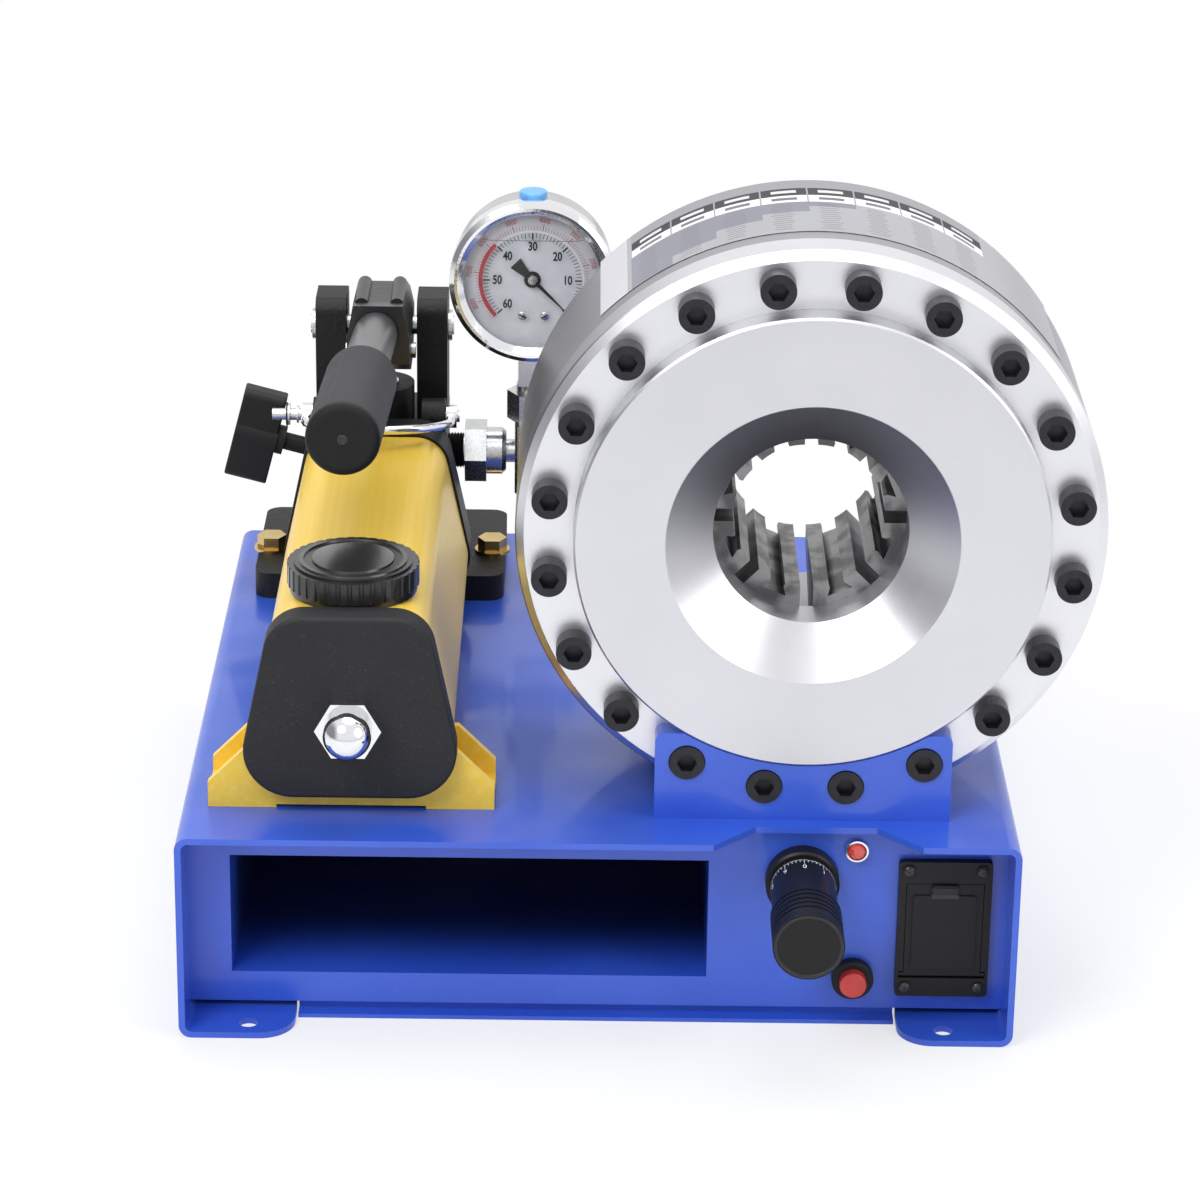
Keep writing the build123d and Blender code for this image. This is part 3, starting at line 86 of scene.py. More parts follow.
# %% Wires, graphs and finishes
class Wire:
    """One output of a shader node, on which sums can be written."""

    def __init__(self, graph, socket):
        self.graph = graph
        self.socket = socket

    def maths(self, operation, *values):
        return self.graph.node("ShaderNodeMath", {"operation": operation}, dict(enumerate(values)))

    def __add__(self, other):
        return self.maths("ADD", self, other)

    def __radd__(self, other):
        return self.maths("ADD", other, self)

    def __sub__(self, other):
        return self.maths("SUBTRACT", self, other)

    def __rsub__(self, other):
        return self.maths("SUBTRACT", other, self)

    def __mul__(self, other):
        return self.maths("MULTIPLY", self, other)

    def __rmul__(self, other):
        return self.maths("MULTIPLY", other, self)

    def __truediv__(self, other):
        return self.maths("DIVIDE", self, other)

    def __gt__(self, other):
        return self.maths("GREATER_THAN", self, other)

    def __lt__(self, other):
        return self.maths("LESS_THAN", self, other)

    def __abs__(self):
        return self.maths("ABSOLUTE", self)

    def between(self, low, high):
        """1 where this lies between two numbers, and 0 elsewhere."""
        return (self > low) * (self < high)

    def floor(self):
        return self.maths("FLOOR", self)

    def root(self):
        return self.maths("SQRT", self)

    def larger(self, other):
        return self.maths("MAXIMUM", self, other)


class Graph:
    """The shader nodes of one material or world."""

    def __init__(self, owner):
        owner.use_nodes = True
        self.tree = owner.node_tree
        self.tree.nodes.clear()

    def plug(self, socket, value):
        if isinstance(value, Wire):
            self.tree.links.new(value.socket, socket)
        elif hasattr(socket.default_value, "__len__") and len(socket.default_value) == 4:
            socket.default_value = (*value[:3], 1.0)
        else:
            socket.default_value = value

    def node(self, kind, settings=None, sockets=None, output=0):
        made = self.tree.nodes.new(kind)
        for name, value in (settings or {}).items():
            setattr(made, name, value)
        for name, value in (sockets or {}).items():
            self.plug(made.inputs[name], value)
        return Wire(self, made.outputs[output])

    def place(self, centre=(0, 0, 0), stretch=(1, 1, 1)):
        """Object coordinates measured from a centre, stretched along the axes."""
        coordinates = self.node("ShaderNodeTexCoord", output="Object")
        moved = self.node(
            "ShaderNodeVectorMath", {"operation": "SUBTRACT"}, {0: coordinates, 1: tuple(centre)}
        )
        return self.node("ShaderNodeVectorMath", {"operation": "MULTIPLY"}, {0: moved, 1: stretch})

    def axis(self, letter, place):
        return self.node("ShaderNodeSeparateXYZ", None, {0: place}, output="XYZ".index(letter))

    def noise(self, size, place, detail=2.0, roughness=0.5):
        """Noise whose blotches are about `size` metres across, as a number near 0.5."""
        sockets = {"Vector": place, "Scale": 1 / size, "Detail": detail, "Roughness": roughness}
        return self.node("ShaderNodeTexNoise", None, sockets)

    def band(self, value, low, high):
        """Goes smoothly from 0 to 1 while value goes from low to high."""
        settings = {"interpolation_type": "SMOOTHSTEP"}
        return self.node(
            "ShaderNodeMapRange", settings, {"Value": value, "From Min": low, "From Max": high}
        )

    def mix(self, factor, first, second):
        settings = {"data_type": "RGBA"}
        return self.node("ShaderNodeMix", settings, {0: factor, 6: first, 7: second}, output=2)

    def bump(self, height, depth, strength=1.0, under=None):
        sockets = {"Height": height, "Distance": depth, "Strength": strength}
        if under is not None:
            sockets["Normal"] = under
        return self.node("ShaderNodeBump", None, sockets)

    def rays(self, kind):
        """1 for the rays of one kind, and 0 for all others."""
        return self.node("ShaderNodeLightPath", output=f"Is {kind} Ray")


class Finish(Graph):
    """A material under construction, with one Principled shader."""

    def __init__(self, name, **sockets):
        self.material = bpy.data.materials.new(name)
        super().__init__(self.material)
        self.shader = self.tree.nodes.new("ShaderNodeBsdfPrincipled")
        self.output = self.tree.nodes.new("ShaderNodeOutputMaterial")
        self.tree.links.new(self.shader.outputs[0], self.output.inputs[0])
        self.set(**sockets)

    def set(self, **sockets):
        for name, value in sockets.items():
            self.plug(self.shader.inputs[name.replace("_", " ")], value)
        return self


finish_names = []


def dress(finish, *names):
    """Gives a finish to CAD nodes."""
    finish_names.append(finish.material.name)
    for name in names:
        slots = nodes[name].data.materials
        slots.clear()
        slots.append(finish.material)


def front_centre(name, y=0.0):
    """The middle of a CAD node as seen from the front, at a given depth."""
    low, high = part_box(name)
    return Vector(((low.x + high.x) / 2, y, (low.z + high.z) / 2))


print("helpers for graphs and finishes")

# %% [markdown]
# ## Blue enamel on bent sheet
# The base is folded from 3 mm sheet and sprayed with glossy enamel. Sprayed enamel is never flat: it has a fine
# orange-peel dimple a couple of millimetres wide, and the sheet under it waves slowly, so reflections wander. The
# colour stays nearly even, with a slightly paler tone in blotches and a few dusty specks, and a clear coat carries
# the gloss. Deep in the storage tray the blue darkens to near black: this is painted shade.

# %% Blue enamel
PANEL_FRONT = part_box("front_panel")[0].y
BLUE, PALE_BLUE, DUSTY_BLUE = (0.024, 0.085, 0.54), (0.034, 0.105, 0.6), (0.14, 0.22, 0.6)
TRAY_SHADE_COLOUR = (0.004, 0.008, 0.035)
TRAY_SHADE_START, TRAY_SHADE_FULL = PANEL_FRONT + 0.004, PANEL_FRONT + 0.06


def blue_enamel(name, tray_shade=0.0):
    paint = Finish(name, Coat_Weight=0.4, Coat_Roughness=0.08)
    place = paint.place()
    blotches = paint.noise(0.09, place, detail=4.0)
    peel = paint.noise(0.0022, place, detail=1.0)
    waves = paint.noise(0.06, place, detail=1.0)
    grit = paint.band(paint.noise(0.0012, place), 0.68, 0.75)
    colour = paint.mix(paint.band(blotches, 0.35, 0.7), BLUE, PALE_BLUE)
    colour = paint.mix(grit * 0.25, colour, DUSTY_BLUE)
    # Painted shade: the blue darkens with depth behind the panel's front, inside the tray.
    behind = paint.band(paint.axis("Y", place), TRAY_SHADE_START, TRAY_SHADE_FULL)
    colour = paint.mix(behind * tray_shade, colour, TRAY_SHADE_COLOUR)
    slow = paint.bump(waves, 0.0035)
    return paint.set(
        Base_Color=colour,
        Roughness=0.28 + 0.1 * blotches,
        Normal=paint.bump(peel, 0.00006, under=slow),
    )


dress(
    blue_enamel("blue_enamel"),
    "base_shell", "bottom_plate", "rear_panel", "head_bracket", "rear_saddle",
)
# The front panel's finish carries painted shade at the back of its tray.
dress(blue_enamel("tray_enamel", tray_shade=0.85), "front_panel")
print("blue enamel on the base and the two saddles")

# %% [markdown]
# ## Turned steel
# The head's flange, covers and barrel come off a lathe. A lathe leaves fine rings round the axis, so the finish
# depends on the distance from that axis: a noise read from that one number gives rings of slightly different
# roughness and height. A second, larger noise lays the faint smears that handling leaves on bare metal. Three areas
# are darker: a painted reflection darkens the upper part of the mouth, and painted shade darkens the left sides of
# the rims and the barrel.

# %% Turned steel
barrel_low, barrel_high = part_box("cylinder_barrel")
HEAD_AXIS = (barrel_low + barrel_high) / 2
BARREL_RADIUS = (barrel_high.x - barrel_low.x) / 2
MOUTH_RADIUS = 0.0652
RIM_RADIUS = BARREL_RADIUS - 0.0006
STEEL_SPECK = (0.5, 0.5, 0.52)
MOUTH_SHADE, RIM_SHADE, BARREL_SHADE = (0.12, 0.12, 0.14), (0.2, 0.2, 0.22), (0.17, 0.17, 0.19)
SHADE_STRENGTH = 0.85
print("head axis", [round(v, 4) for v in HEAD_AXIS], "radius", round(BARREL_RADIUS, 4))


def from_axis(finish, centre):
    """The distance from a centre line that runs along Y, with the place itself."""
    place = finish.place(centre)
    across = finish.axis("X", place)
    up = finish.axis("Z", place)
    return (across * across + up * up).root(), across, up, finish.axis("Y", place)


def rings(finish, centre, pitch):
    """Noise that stays the same round the axis, so it makes rings."""
    radius, _, _, depth = from_axis(finish, centre)
    along = finish.node("ShaderNodeCombineXYZ", None, {0: radius / pitch, 1: depth / pitch})
    return finish.node("ShaderNodeTexNoise", None, {"Vector": along, "Scale": 1.0, "Detail": 3.0})


# Painted shade: how far a point lies on the left of the head's axis.
def left_side(finish, across, radius):
    return finish.band((0.0 - across) / radius, 0.3, 0.9)


def turned_steel(name, tone):
    steel = Finish(name, Metallic=1.0)
    place = steel.place()
    marks = rings(steel, HEAD_AXIS, 0.0012)
    smears = steel.noise(0.05, place, detail=3.0)
    specks = steel.band(steel.noise(0.0016, place), 0.66, 0.72)
    colour = steel.mix(smears, (tone, tone, tone + 0.03), (tone + 0.09, tone + 0.09, tone + 0.12))
    colour = steel.mix(specks * 0.15, colour, STEEL_SPECK)
    radius, across, up, _ = from_axis(steel, HEAD_AXIS)
    # Painted reflection: the upper part of the mouth is darker.
    mouth = steel.band(up / radius, -0.6, 0.6) * (radius < MOUTH_RADIUS)
    colour = steel.mix(mouth * SHADE_STRENGTH, colour, MOUTH_SHADE)
    # Painted shade: the left sides of the rims are darker.
    rim = left_side(steel, across, radius) * (radius > RIM_RADIUS)
    colour = steel.mix(rim * SHADE_STRENGTH, colour, RIM_SHADE)
    return steel.set(
        Base_Color=colour,
        Roughness=0.24 + 0.08 * marks + 0.1 * smears,
        Normal=steel.bump(marks, 0.00004),
    )


dress(turned_steel("flange_steel", 0.7), "flange_ring")
dress(turned_steel("cover_steel", 0.6), "front_cover")


def barrel_steel():
    steel = Finish("barrel_steel", Metallic=1.0)
    radius, across, _, _ = from_axis(steel, HEAD_AXIS)
    smears = steel.noise(0.06, steel.place(HEAD_AXIS, (1, 6, 1)), detail=4.0)
    cuts = rings(steel, HEAD_AXIS, 0.0008)
    colour = steel.mix(smears, (0.33, 0.33, 0.36), (0.45, 0.45, 0.48))
    # Painted shade: the left side of the barrel is darker.
    colour = steel.mix(left_side(steel, across, radius) * SHADE_STRENGTH, colour, BARREL_SHADE)
    return steel.set(
        Base_Color=colour, Roughness=0.22 + 0.1 * cuts + 0.1 * smears, Normal=steel.bump(cuts, 0.00005)
    )


dress(barrel_steel(), "cylinder_barrel", "rear_cover")
print("turned steel on the head")

# %% [markdown]
# ## Ground tool steel
# The eight shoes and the cone that closes them are hardened steel. Grinding leaves straight scratches along the
# hose, and oil lies on it in blotches that look almost black. Stretching a noise a long way along Y gives
# the scratches. The cone sits deep in the head, so its copy of the finish is far darker: painted shade.

# %% Tool steel
SHOES = [f"die_shoe_{number}" for number in range(1, 9)]


def tool_steel(name, clean, oily):
    steel = Finish(name, Metallic=1.0)
    scratches = steel.noise(0.0011, steel.place(stretch=(1, 0.03, 1)), detail=3.0)
    oil = steel.band(steel.noise(0.016, steel.place(), detail=3.0), 0.4, 0.62)
    colour = steel.mix(oil, clean, oily)
    return steel.set(
        Base_Color=colour, Roughness=0.3 + 0.16 * scratches, Normal=steel.bump(scratches, 0.00006)
    )


dress(tool_steel("tool_steel", (0.26, 0.26, 0.26), (0.1, 0.1, 0.105)), *SHOES)
# Painted shade: the cone deep in the head gets a much darker copy of the same steel.
dress(tool_steel("shaded_tool_steel", (0.06, 0.06, 0.06), (0.02, 0.02, 0.022)), "ram_cone")
print("tool steel on the cone and the shoes")

# %% [markdown]
# ## Black oxide screws
# Socket cap screws are blackened, not painted: a dark metal with a soft shine and a very fine grain. Turning the
# Metallic socket more than half on with a dark colour gives that oily look.

# %% Black oxide
def black_oxide():
    steel = Finish("black_oxide", Metallic=0.6)
    grain = steel.noise(0.0007, steel.place(), detail=2.0)
    wipe = steel.noise(0.006, steel.place(), detail=2.0)
    colour = steel.mix(wipe, (0.013, 0.013, 0.016), (0.035, 0.035, 0.04))
    return steel.set(Base_Color=colour, Roughness=0.3 + 0.15 * grain, Normal=steel.bump(grain, 0.00005))


dress(black_oxide(), "head_screws", "rear_screws")
print("black oxide on the screws")

# %% [markdown]
# ## Black rubber
# The reservoir's end cap and the lever's grip are moulded rubber with a fine spark-eroded grain. The grain is a
# small noise used as a bump, and tiny pale specks sit on its raised points. The grip's end face is
# smoother and darker, so the finish measures how far along the grip a point lies.

# %% Rubber
grip_low, grip_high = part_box("handle_grip")
GRIP_MIDDLE = (grip_low + grip_high) / 2
GRIP_LEAN, GRIP_TILT = math.radians(1.2), math.radians(5.1)
GRIP_AIM = Vector((-math.tan(GRIP_LEAN), -1.0, math.tan(GRIP_TILT))).normalized()
GRIP_HALF, GRIP_RADIUS = 0.058, 0.01725
END_FACE_START, END_FACE_FULL = GRIP_HALF - 0.0035, GRIP_HALF - 0.001
RUBBER_SPECK = (0.16, 0.16, 0.17)


def rubber(name, tone, grain_size, speckle=0.3, end_tone=None):
    skin = Finish(name, Specular_IOR_Level=0.25)
    place = skin.place()
    grain = skin.noise(grain_size, place, detail=3.0, roughness=0.6)
    # Pale specks on the raised points of the grain.
    raised_specks = skin.band(grain, 0.62, 0.74)
    patches = skin.noise(0.03, place, detail=2.0)
    colour = skin.mix(patches, (tone, tone, tone * 1.1), (tone * 1.6, tone * 1.6, tone * 1.75))
    if end_tone is not None:
        from_middle = {0: skin.place(GRIP_MIDDLE), 1: tuple(GRIP_AIM)}
        along = skin.node("ShaderNodeVectorMath", {"operation": "DOT_PRODUCT"}, from_middle, output=1)
        at_end = skin.band(along, END_FACE_START, END_FACE_FULL)
        colour = skin.mix(at_end, colour, (end_tone, end_tone, end_tone * 1.1))
        raised_specks = raised_specks * (1.0 - at_end)
    colour = skin.mix(raised_specks * speckle, colour, RUBBER_SPECK)
    return skin.set(
        Base_Color=colour, Roughness=0.5 + 0.2 * patches, Normal=skin.bump(grain, 0.0003, strength=0.8)
    )


dress(rubber("cap_rubber", tone=0.014, grain_size=0.0009), "reservoir_end_cap")
dress(rubber("grip_rubber", tone=0.026, grain_size=0.0008, speckle=0.6, end_tone=0.006), "handle_grip")
dress(rubber("seal_rubber", tone=0.012, grain_size=0.001), "ram_seals")
print("rubber on the cap, the grip and the seals")

# %% [markdown]
# ## Yellow anodising
# The reservoir and its foot are an aluminium section, drawn through a die and then anodised yellow. Drawing leaves
# faint straight lines along the section, so the noise is stretched along Y; the lines set roughness and bump, and
# paler streaks along them are painted highlights. A slightly metallic shader gives the warm satin look of dyed
# aluminium.

# %% Yellow anodising
YELLOW, PALE_YELLOW, HIGHLIGHT_YELLOW = (0.88, 0.56, 0.035), (0.93, 0.64, 0.065), (0.97, 0.78, 0.24)


def yellow_anodised():
    metal = Finish("yellow_anodised", Metallic=0.12, Coat_Weight=0.2, Coat_Roughness=0.22)
    lines = metal.noise(0.0022, metal.place(stretch=(1, 0.008, 1)), detail=3.0)
    cloud = metal.noise(0.05, metal.place(stretch=(1, 0.3, 1)), detail=3.0)
    colour = metal.mix(cloud, YELLOW, PALE_YELLOW)
    # Painted highlights: paler streaks along the drawn lines.
    colour = metal.mix(metal.band(lines, 0.4, 0.8) * 0.3, colour, HIGHLIGHT_YELLOW)
    return metal.set(Base_Color=colour, Roughness=0.36 + 0.1 * lines, Normal=metal.bump(lines, 0.00005))


dress(yellow_anodised(), "reservoir", "pump_foot")
print("yellow anodising on the reservoir and its foot")

# %% [markdown]
# ## Bright and plated metal
# Chrome is a mirror with a very little haze. Zinc plating is greyer and rougher, with a grain just under a
# millimetre across. The ear bolts have the yellow kind, whose tone drifts over each bolt.

# %% Plated metal
CLOUD_TO_GRAIN = 14     # how many times larger the clouds are than the grain


def plated(name, dark, light, low_roughness, grain_size):
    metal = Finish(name, Metallic=1.0)
    place = metal.place()
    grain = metal.noise(grain_size, place, detail=3.0)
    cloud = metal.noise(grain_size * CLOUD_TO_GRAIN, place, detail=2.0)
    return metal.set(
        Base_Color=metal.mix(cloud, dark, light),
        Roughness=low_roughness + 0.12 * grain,
        Normal=metal.bump(grain, 0.00003),
    )


dress(
    plated("chrome", (0.72, 0.73, 0.75), (0.85, 0.85, 0.87), low_roughness=0.03, grain_size=0.0015),
    "acorn_nut", "handle_bail", "gauge_bezel",
)
dress(
    plated("gauge_steel", (0.5, 0.5, 0.52), (0.62, 0.62, 0.63), low_roughness=0.14, grain_size=0.001),
    "gauge_case",
)
dress(
    plated("zinc", (0.5, 0.51, 0.52), (0.68, 0.69, 0.7), low_roughness=0.2, grain_size=0.0008),
    "tie_rod", "outlet_adapter", "coupling_nut", "coupling_tail", "tee_block", "gauge_adapter",
    "feed_pipe", "fulcrum_pin", "plunger_pin", "bail_pins", "relief_plug", "plunger",
)
dress(
    plated("yellow_zinc", (0.5, 0.33, 0.1), (0.72, 0.55, 0.24), low_roughness=0.18, grain_size=0.0009),
    "ear_bolts",
)
print("chrome, steel and zinc")

# %% [markdown]
# ## Black paint, casting and plastic
# Several blacks meet on this machine, and they only look different through their gloss and grain: a sand casting
# under satin paint, smooth paint on the lever, anodised aluminium on the dial, textured plastic on the battery box
# and glossy plastic on the filler cap.

# %% Blacks
def black(name, tone, roughness, grain_size, grain_depth, coat=0.0):
    skin = Finish(name, Specular_IOR_Level=0.25, Coat_Weight=coat, Coat_Roughness=0.25)
    place = skin.place()
    grain = skin.noise(grain_size, place, detail=3.0, roughness=0.6)
    patches = skin.noise(0.02, place, detail=3.0)
    colour = skin.mix(patches, (tone, tone, tone * 1.1), (tone * 1.7, tone * 1.7, tone * 1.85))
    return skin.set(
        Base_Color=colour, Roughness=roughness + 0.15 * patches, Normal=skin.bump(grain, grain_depth)
    )


dress(
    black("black_casting", tone=0.008, roughness=0.42, grain_size=0.0022, grain_depth=0.0004),
    "pump_body",
)
dress(
    black("black_forging", tone=0.014, roughness=0.34, grain_size=0.003, grain_depth=0.00025, coat=0.3),
    "handle_socket",
)
dress(
    black("black_paint", tone=0.045, roughness=0.3, grain_size=0.004, grain_depth=0.00008, coat=0.5),
    "handle_tube",
)
dress(
    black("black_anodised", tone=0.006, roughness=0.34, grain_size=0.0006, grain_depth=0.00003),
    "dial_barrel", "dial_thimble", "dial_spindle",
)
dress(
    black("black_plastic", tone=0.007, roughness=0.4, grain_size=0.0008, grain_depth=0.00008),
    "release_knob", "button_bezel", "battery_box", "battery_lid",
)
dress(
    black("glossy_plastic", tone=0.01, roughness=0.2, grain_size=0.0012, grain_depth=0.00006, coat=0.6),
    "filler_cap",
)
print("blacks")

# %% [markdown]
# ## Glass, print and small plastics
# The gauge's glass is left clear. The dial behind it is white enamel with a faint cool tone, and its pointer and
# print are matt black ink. The lamp and the push button are red plastic, glossy enough to catch the lights.

# %% Glass, dial and plastics
def clear_glass():
    glass = Finish("clear_glass", Base_Color=(0.97, 0.98, 1.0), Transmission_Weight=1.0, IOR=1.2)
    haze = glass.noise(0.02, glass.place(), detail=2.0)
    return glass.set(Roughness=0.01 + 0.03 * haze)


def smooth(name, colour, roughness, coat=0.0):
    skin = Finish(name, Coat_Weight=coat, Coat_Roughness=0.05)
    cloud = skin.noise(0.008, skin.place(), detail=2.0)
    pale = tuple(min(1.0, c * 1.25 + 0.01) for c in colour)
    return skin.set(
        Base_Color=skin.mix(cloud, colour, pale),
        Roughness=roughness + 0.1 * cloud,
        Normal=skin.bump(skin.noise(0.0009, skin.place()), 0.00003),
    )


dress(clear_glass(), "gauge_glass")
dress(smooth("white_enamel", (0.66, 0.67, 0.7), roughness=0.4), "gauge_dial")
dress(smooth("pointer_black", (0.012, 0.012, 0.013), roughness=0.4), "gauge_pointer")
dress(smooth("blue_plastic", (0.1, 0.34, 0.72), roughness=0.35, coat=0.3), "gauge_plug")
dress(smooth("red_plastic", (0.52, 0.03, 0.025), roughness=0.3, coat=0.3), "push_button")
dress(smooth("lamp_red", (0.5, 0.03, 0.03), roughness=0.15, coat=0.8), "pilot_lamp")
print("finishes so far:", sorted(finish_names))

# %% [markdown]
# ## Making pieces
# Each new piece starts as an empty bmesh that a few operators shape. `finish_piece` turns it into an object whose
# place is in its mesh, shades it smooth where its faces meet at a small angle, gives it a finish, and lets it ride
# on the CAD body that carries it.

# %% Piece helpers
FRONT = Vector((0, -1, 0))
TIP = 0.0001            # the radius at which a closed dome's profile starts
WELD = 1e-6             # points closer than this become one


def finish_piece(name, mesh_builder, finish, body, sharp=35):
    mesh = bpy.data.meshes.new(name)
    mesh_builder.to_mesh(mesh)
    mesh_builder.free()
    mesh.materials.append(finish.material)
    mesh.shade_smooth()
    mesh.set_sharp_from_angle(angle=math.radians(sharp))
    piece = bpy.data.objects.new(name, mesh)
    bpy.context.scene.collection.objects.link(piece)
    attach(piece, body)
    print(name, len(mesh.polygons), "faces on", body)


def turned(profile, centre, axis=FRONT, steps=48):
    """Spins an open profile of (radius, height) points round an axis through a centre."""
    shape = bmesh.new()
    corners = [shape.verts.new((radius, 0, height)) for radius, height in profile]
    edges = [shape.edges.new(pair) for pair in zip(corners, corners[1:])]
    bmesh.ops.spin(
        shape, geom=corners + edges, cent=(0, 0, 0), axis=(0, 0, 1), angle=2 * math.pi,
        steps=steps, use_merge=True,
    )
    bmesh.ops.remove_doubles(shape, verts=shape.verts, dist=WELD)
    bmesh.ops.recalc_face_normals(shape, faces=shape.faces)
    aim = Vector((0, 0, 1)).rotation_difference(Vector(axis)).to_matrix().to_4x4()
    bmesh.ops.transform(shape, matrix=Matrix.Translation(centre) @ aim, verts=shape.verts)
    return shape


def add_bar(shape, start, end, width, facing=FRONT):
    """Adds one flat bar between two points, which faces the given way."""
    side = facing.cross(end - start).normalized() * width / 2
    corners = [shape.verts.new(p) for p in (start - side, start + side, end + side, end - side)]
    face = shape.faces.new(corners)
    face.normal_update()
    if face.normal.dot(facing) < 0:
        face.normal_flip()


def block(centre, size, bevel):
    """A box whose edges are rounded."""
    shape = bmesh.new()
    bmesh.ops.create_cube(shape, size=1.0)
    bmesh.ops.scale(shape, vec=size, verts=shape.verts)
    bmesh.ops.bevel(shape, geom=shape.edges, offset=bevel, segments=3, affect="EDGES")
    bmesh.ops.translate(shape, vec=centre, verts=shape.verts)
    return shape


print("helpers for pieces")

# %% [markdown]
# ## The gauge's print
# A pressure gauge is read from its dial, so the print is real geometry and stays crisp at any distance. The black
# scale runs from 0 to 60 through 270 degrees. It has a tick for every unit, and a longer and thicker one for each
# ten. A red band marks the top of the range, and a fine red second scale runs outside it.

# %% Gauge print
dial_low, dial_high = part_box("gauge_dial")
DIAL_FACE = dial_low.y
DIAL = front_centre("gauge_dial")
DIAL_RADIUS = (dial_high.x - dial_low.x) / 2
print("dial centre", [round(v, 4) for v in DIAL], "radius", round(DIAL_RADIUS, 4))
print("dial face at y", round(DIAL_FACE, 4))

# %% [markdown]
# A point on the dial is given by its reading and its distance from the middle. The scale is laid out like the real
# one: zero is at the lower right and the readings climb anticlockwise, over the top, to the lower left. Each tick is
# one small plate, and numbers are text turned into a mesh before it is stood up and moved to its place.

# %% Marks
PRINT_LIFT = 0.00025
ZERO_ANGLE, UNIT_ANGLE = -45, 4.5       # degrees
FULL_SCALE, RED_ZONE = 60, 40
BLACK_RADIUS = 0.0247
LONG_TICK, SHORT_TICK = (0.0034, 0.0008), (0.0026, 0.00032)     # length and width
NUMBER_RADIUS, NUMBER_SIZE = 0.0176, 0.0064
WHITE_BAND = (BLACK_RADIUS + 0.0005, BLACK_RADIUS + 0.0011)
RED_BAND = (BLACK_RADIUS + 0.0003, BLACK_RADIUS + 0.0023)
RED_RADIUS = 0.0264
RED_LONG_TICK, RED_SHORT_TICK = (0.0032, 0.0004), (0.0022, 0.0002)
RED_NUMBER_RADIUS, RED_NUMBER_SIZE = 0.0316, 0.0036
RED_TICKS = 87
RED_STEP = FULL_SCALE / RED_TICKS
black_ink = smooth("black_ink", (0.015, 0.015, 0.017), roughness=0.5)
red_ink = smooth("red_ink", (0.42, 0.04, 0.05), roughness=0.5)
white_ink = smooth("white_ink", (0.8, 0.8, 0.82), roughness=0.5)


def on_dial(reading, radius):
    angle = math.radians(ZERO_ANGLE + UNIT_ANGLE * reading)
    return Vector(
        (DIAL.x + radius * math.cos(angle), DIAL_FACE - PRINT_LIFT, DIAL.z + radius * math.sin(angle))
    )


def upright(place, turn=0.0):
    """Stands a flat thing up at a place, facing the front, and turns it clockwise by an angle."""
    stand = Matrix.Rotation(turn, 4, "Y") @ Matrix.Rotation(math.pi / 2, 4, "X")
    return Matrix.Translation(place) @ stand


def add_words(shape, words, size, stand, narrow=0.8, bold=0.0):
    """Adds text to a bmesh, centred and stood up by a matrix."""
    curve = bpy.data.curves.new("words", "FONT")
    curve.body = words
    curve.size = size
    curve.offset = bold * size
    curve.align_x = "CENTER"
    curve.align_y = "CENTER"
    curve.resolution_u = 3
    holder = bpy.data.objects.new("words", curve)
    mesh = bpy.data.meshes.new_from_object(holder)
    mesh.transform(stand @ Matrix.Scale(narrow, 4, (1, 0, 0)))
    shape.from_mesh(mesh)
    bpy.data.objects.remove(holder)
    bpy.data.curves.remove(curve)
    bpy.data.meshes.remove(mesh)


def add_arc(shape, first, last, inner, outer):
    """Adds part of a flat ring to a bmesh, from one reading to another."""
    edge = [shape.verts.new(on_dial(first, radius)) for radius in (inner, outer)]
    middle = Vector((DIAL.x, DIAL_FACE, DIAL.z))
    bmesh.ops.spin(
        shape, geom=[*edge, shape.edges.new(edge)], cent=middle, axis=FRONT, steps=40,
        angle=math.radians(UNIT_ANGLE * (last - first)),
    )


black_print = bmesh.new()
for reading in range(FULL_SCALE + 1):
    length, width = LONG_TICK if reading % 10 == 0 else SHORT_TICK
    inner_end = on_dial(reading, BLACK_RADIUS - length)
    add_bar(black_print, inner_end, on_dial(reading, BLACK_RADIUS), width)
    if reading % 10 == 0 and reading > 0:
        number_place = upright(on_dial(reading, NUMBER_RADIUS))
        add_words(black_print, str(reading), NUMBER_SIZE, number_place, narrow=0.72, bold=0.03)
finish_piece("gauge_print_black", black_print, black_ink, "machine")

white_print = bmesh.new()
add_arc(white_print, 0, RED_ZONE, *WHITE_BAND)
finish_piece("gauge_print_white", white_print, white_ink, "machine")

red_print = bmesh.new()
add_arc(red_print, RED_ZONE, FULL_SCALE, *RED_BAND)
for tick in range(RED_TICKS + 1):
    length, width = RED_LONG_TICK if tick % 10 == 0 else RED_SHORT_TICK
    reading = tick * RED_STEP
    add_bar(red_print, on_dial(reading, RED_RADIUS), on_dial(reading, RED_RADIUS + length), width)
for tick in range(10, RED_TICKS, 10):
    reading = tick * RED_STEP
    lean = math.radians(90 - ZERO_ANGLE - UNIT_ANGLE * reading)
    number_place = upright(on_dial(reading, RED_NUMBER_RADIUS), lean)
    add_words(red_print, str(tick * 100), RED_NUMBER_SIZE, number_place)
finish_piece("gauge_print_red", red_print, red_ink, "machine")

# %% [markdown]
# The pointer's hub is capped by a small turned button, and two slotted screws hold the dial to the movement; the
# shade in each slot is painted as a dark bar. The case is filled with glycerine nearly to the top, and its level
# shows as one thin dark line under the glass.

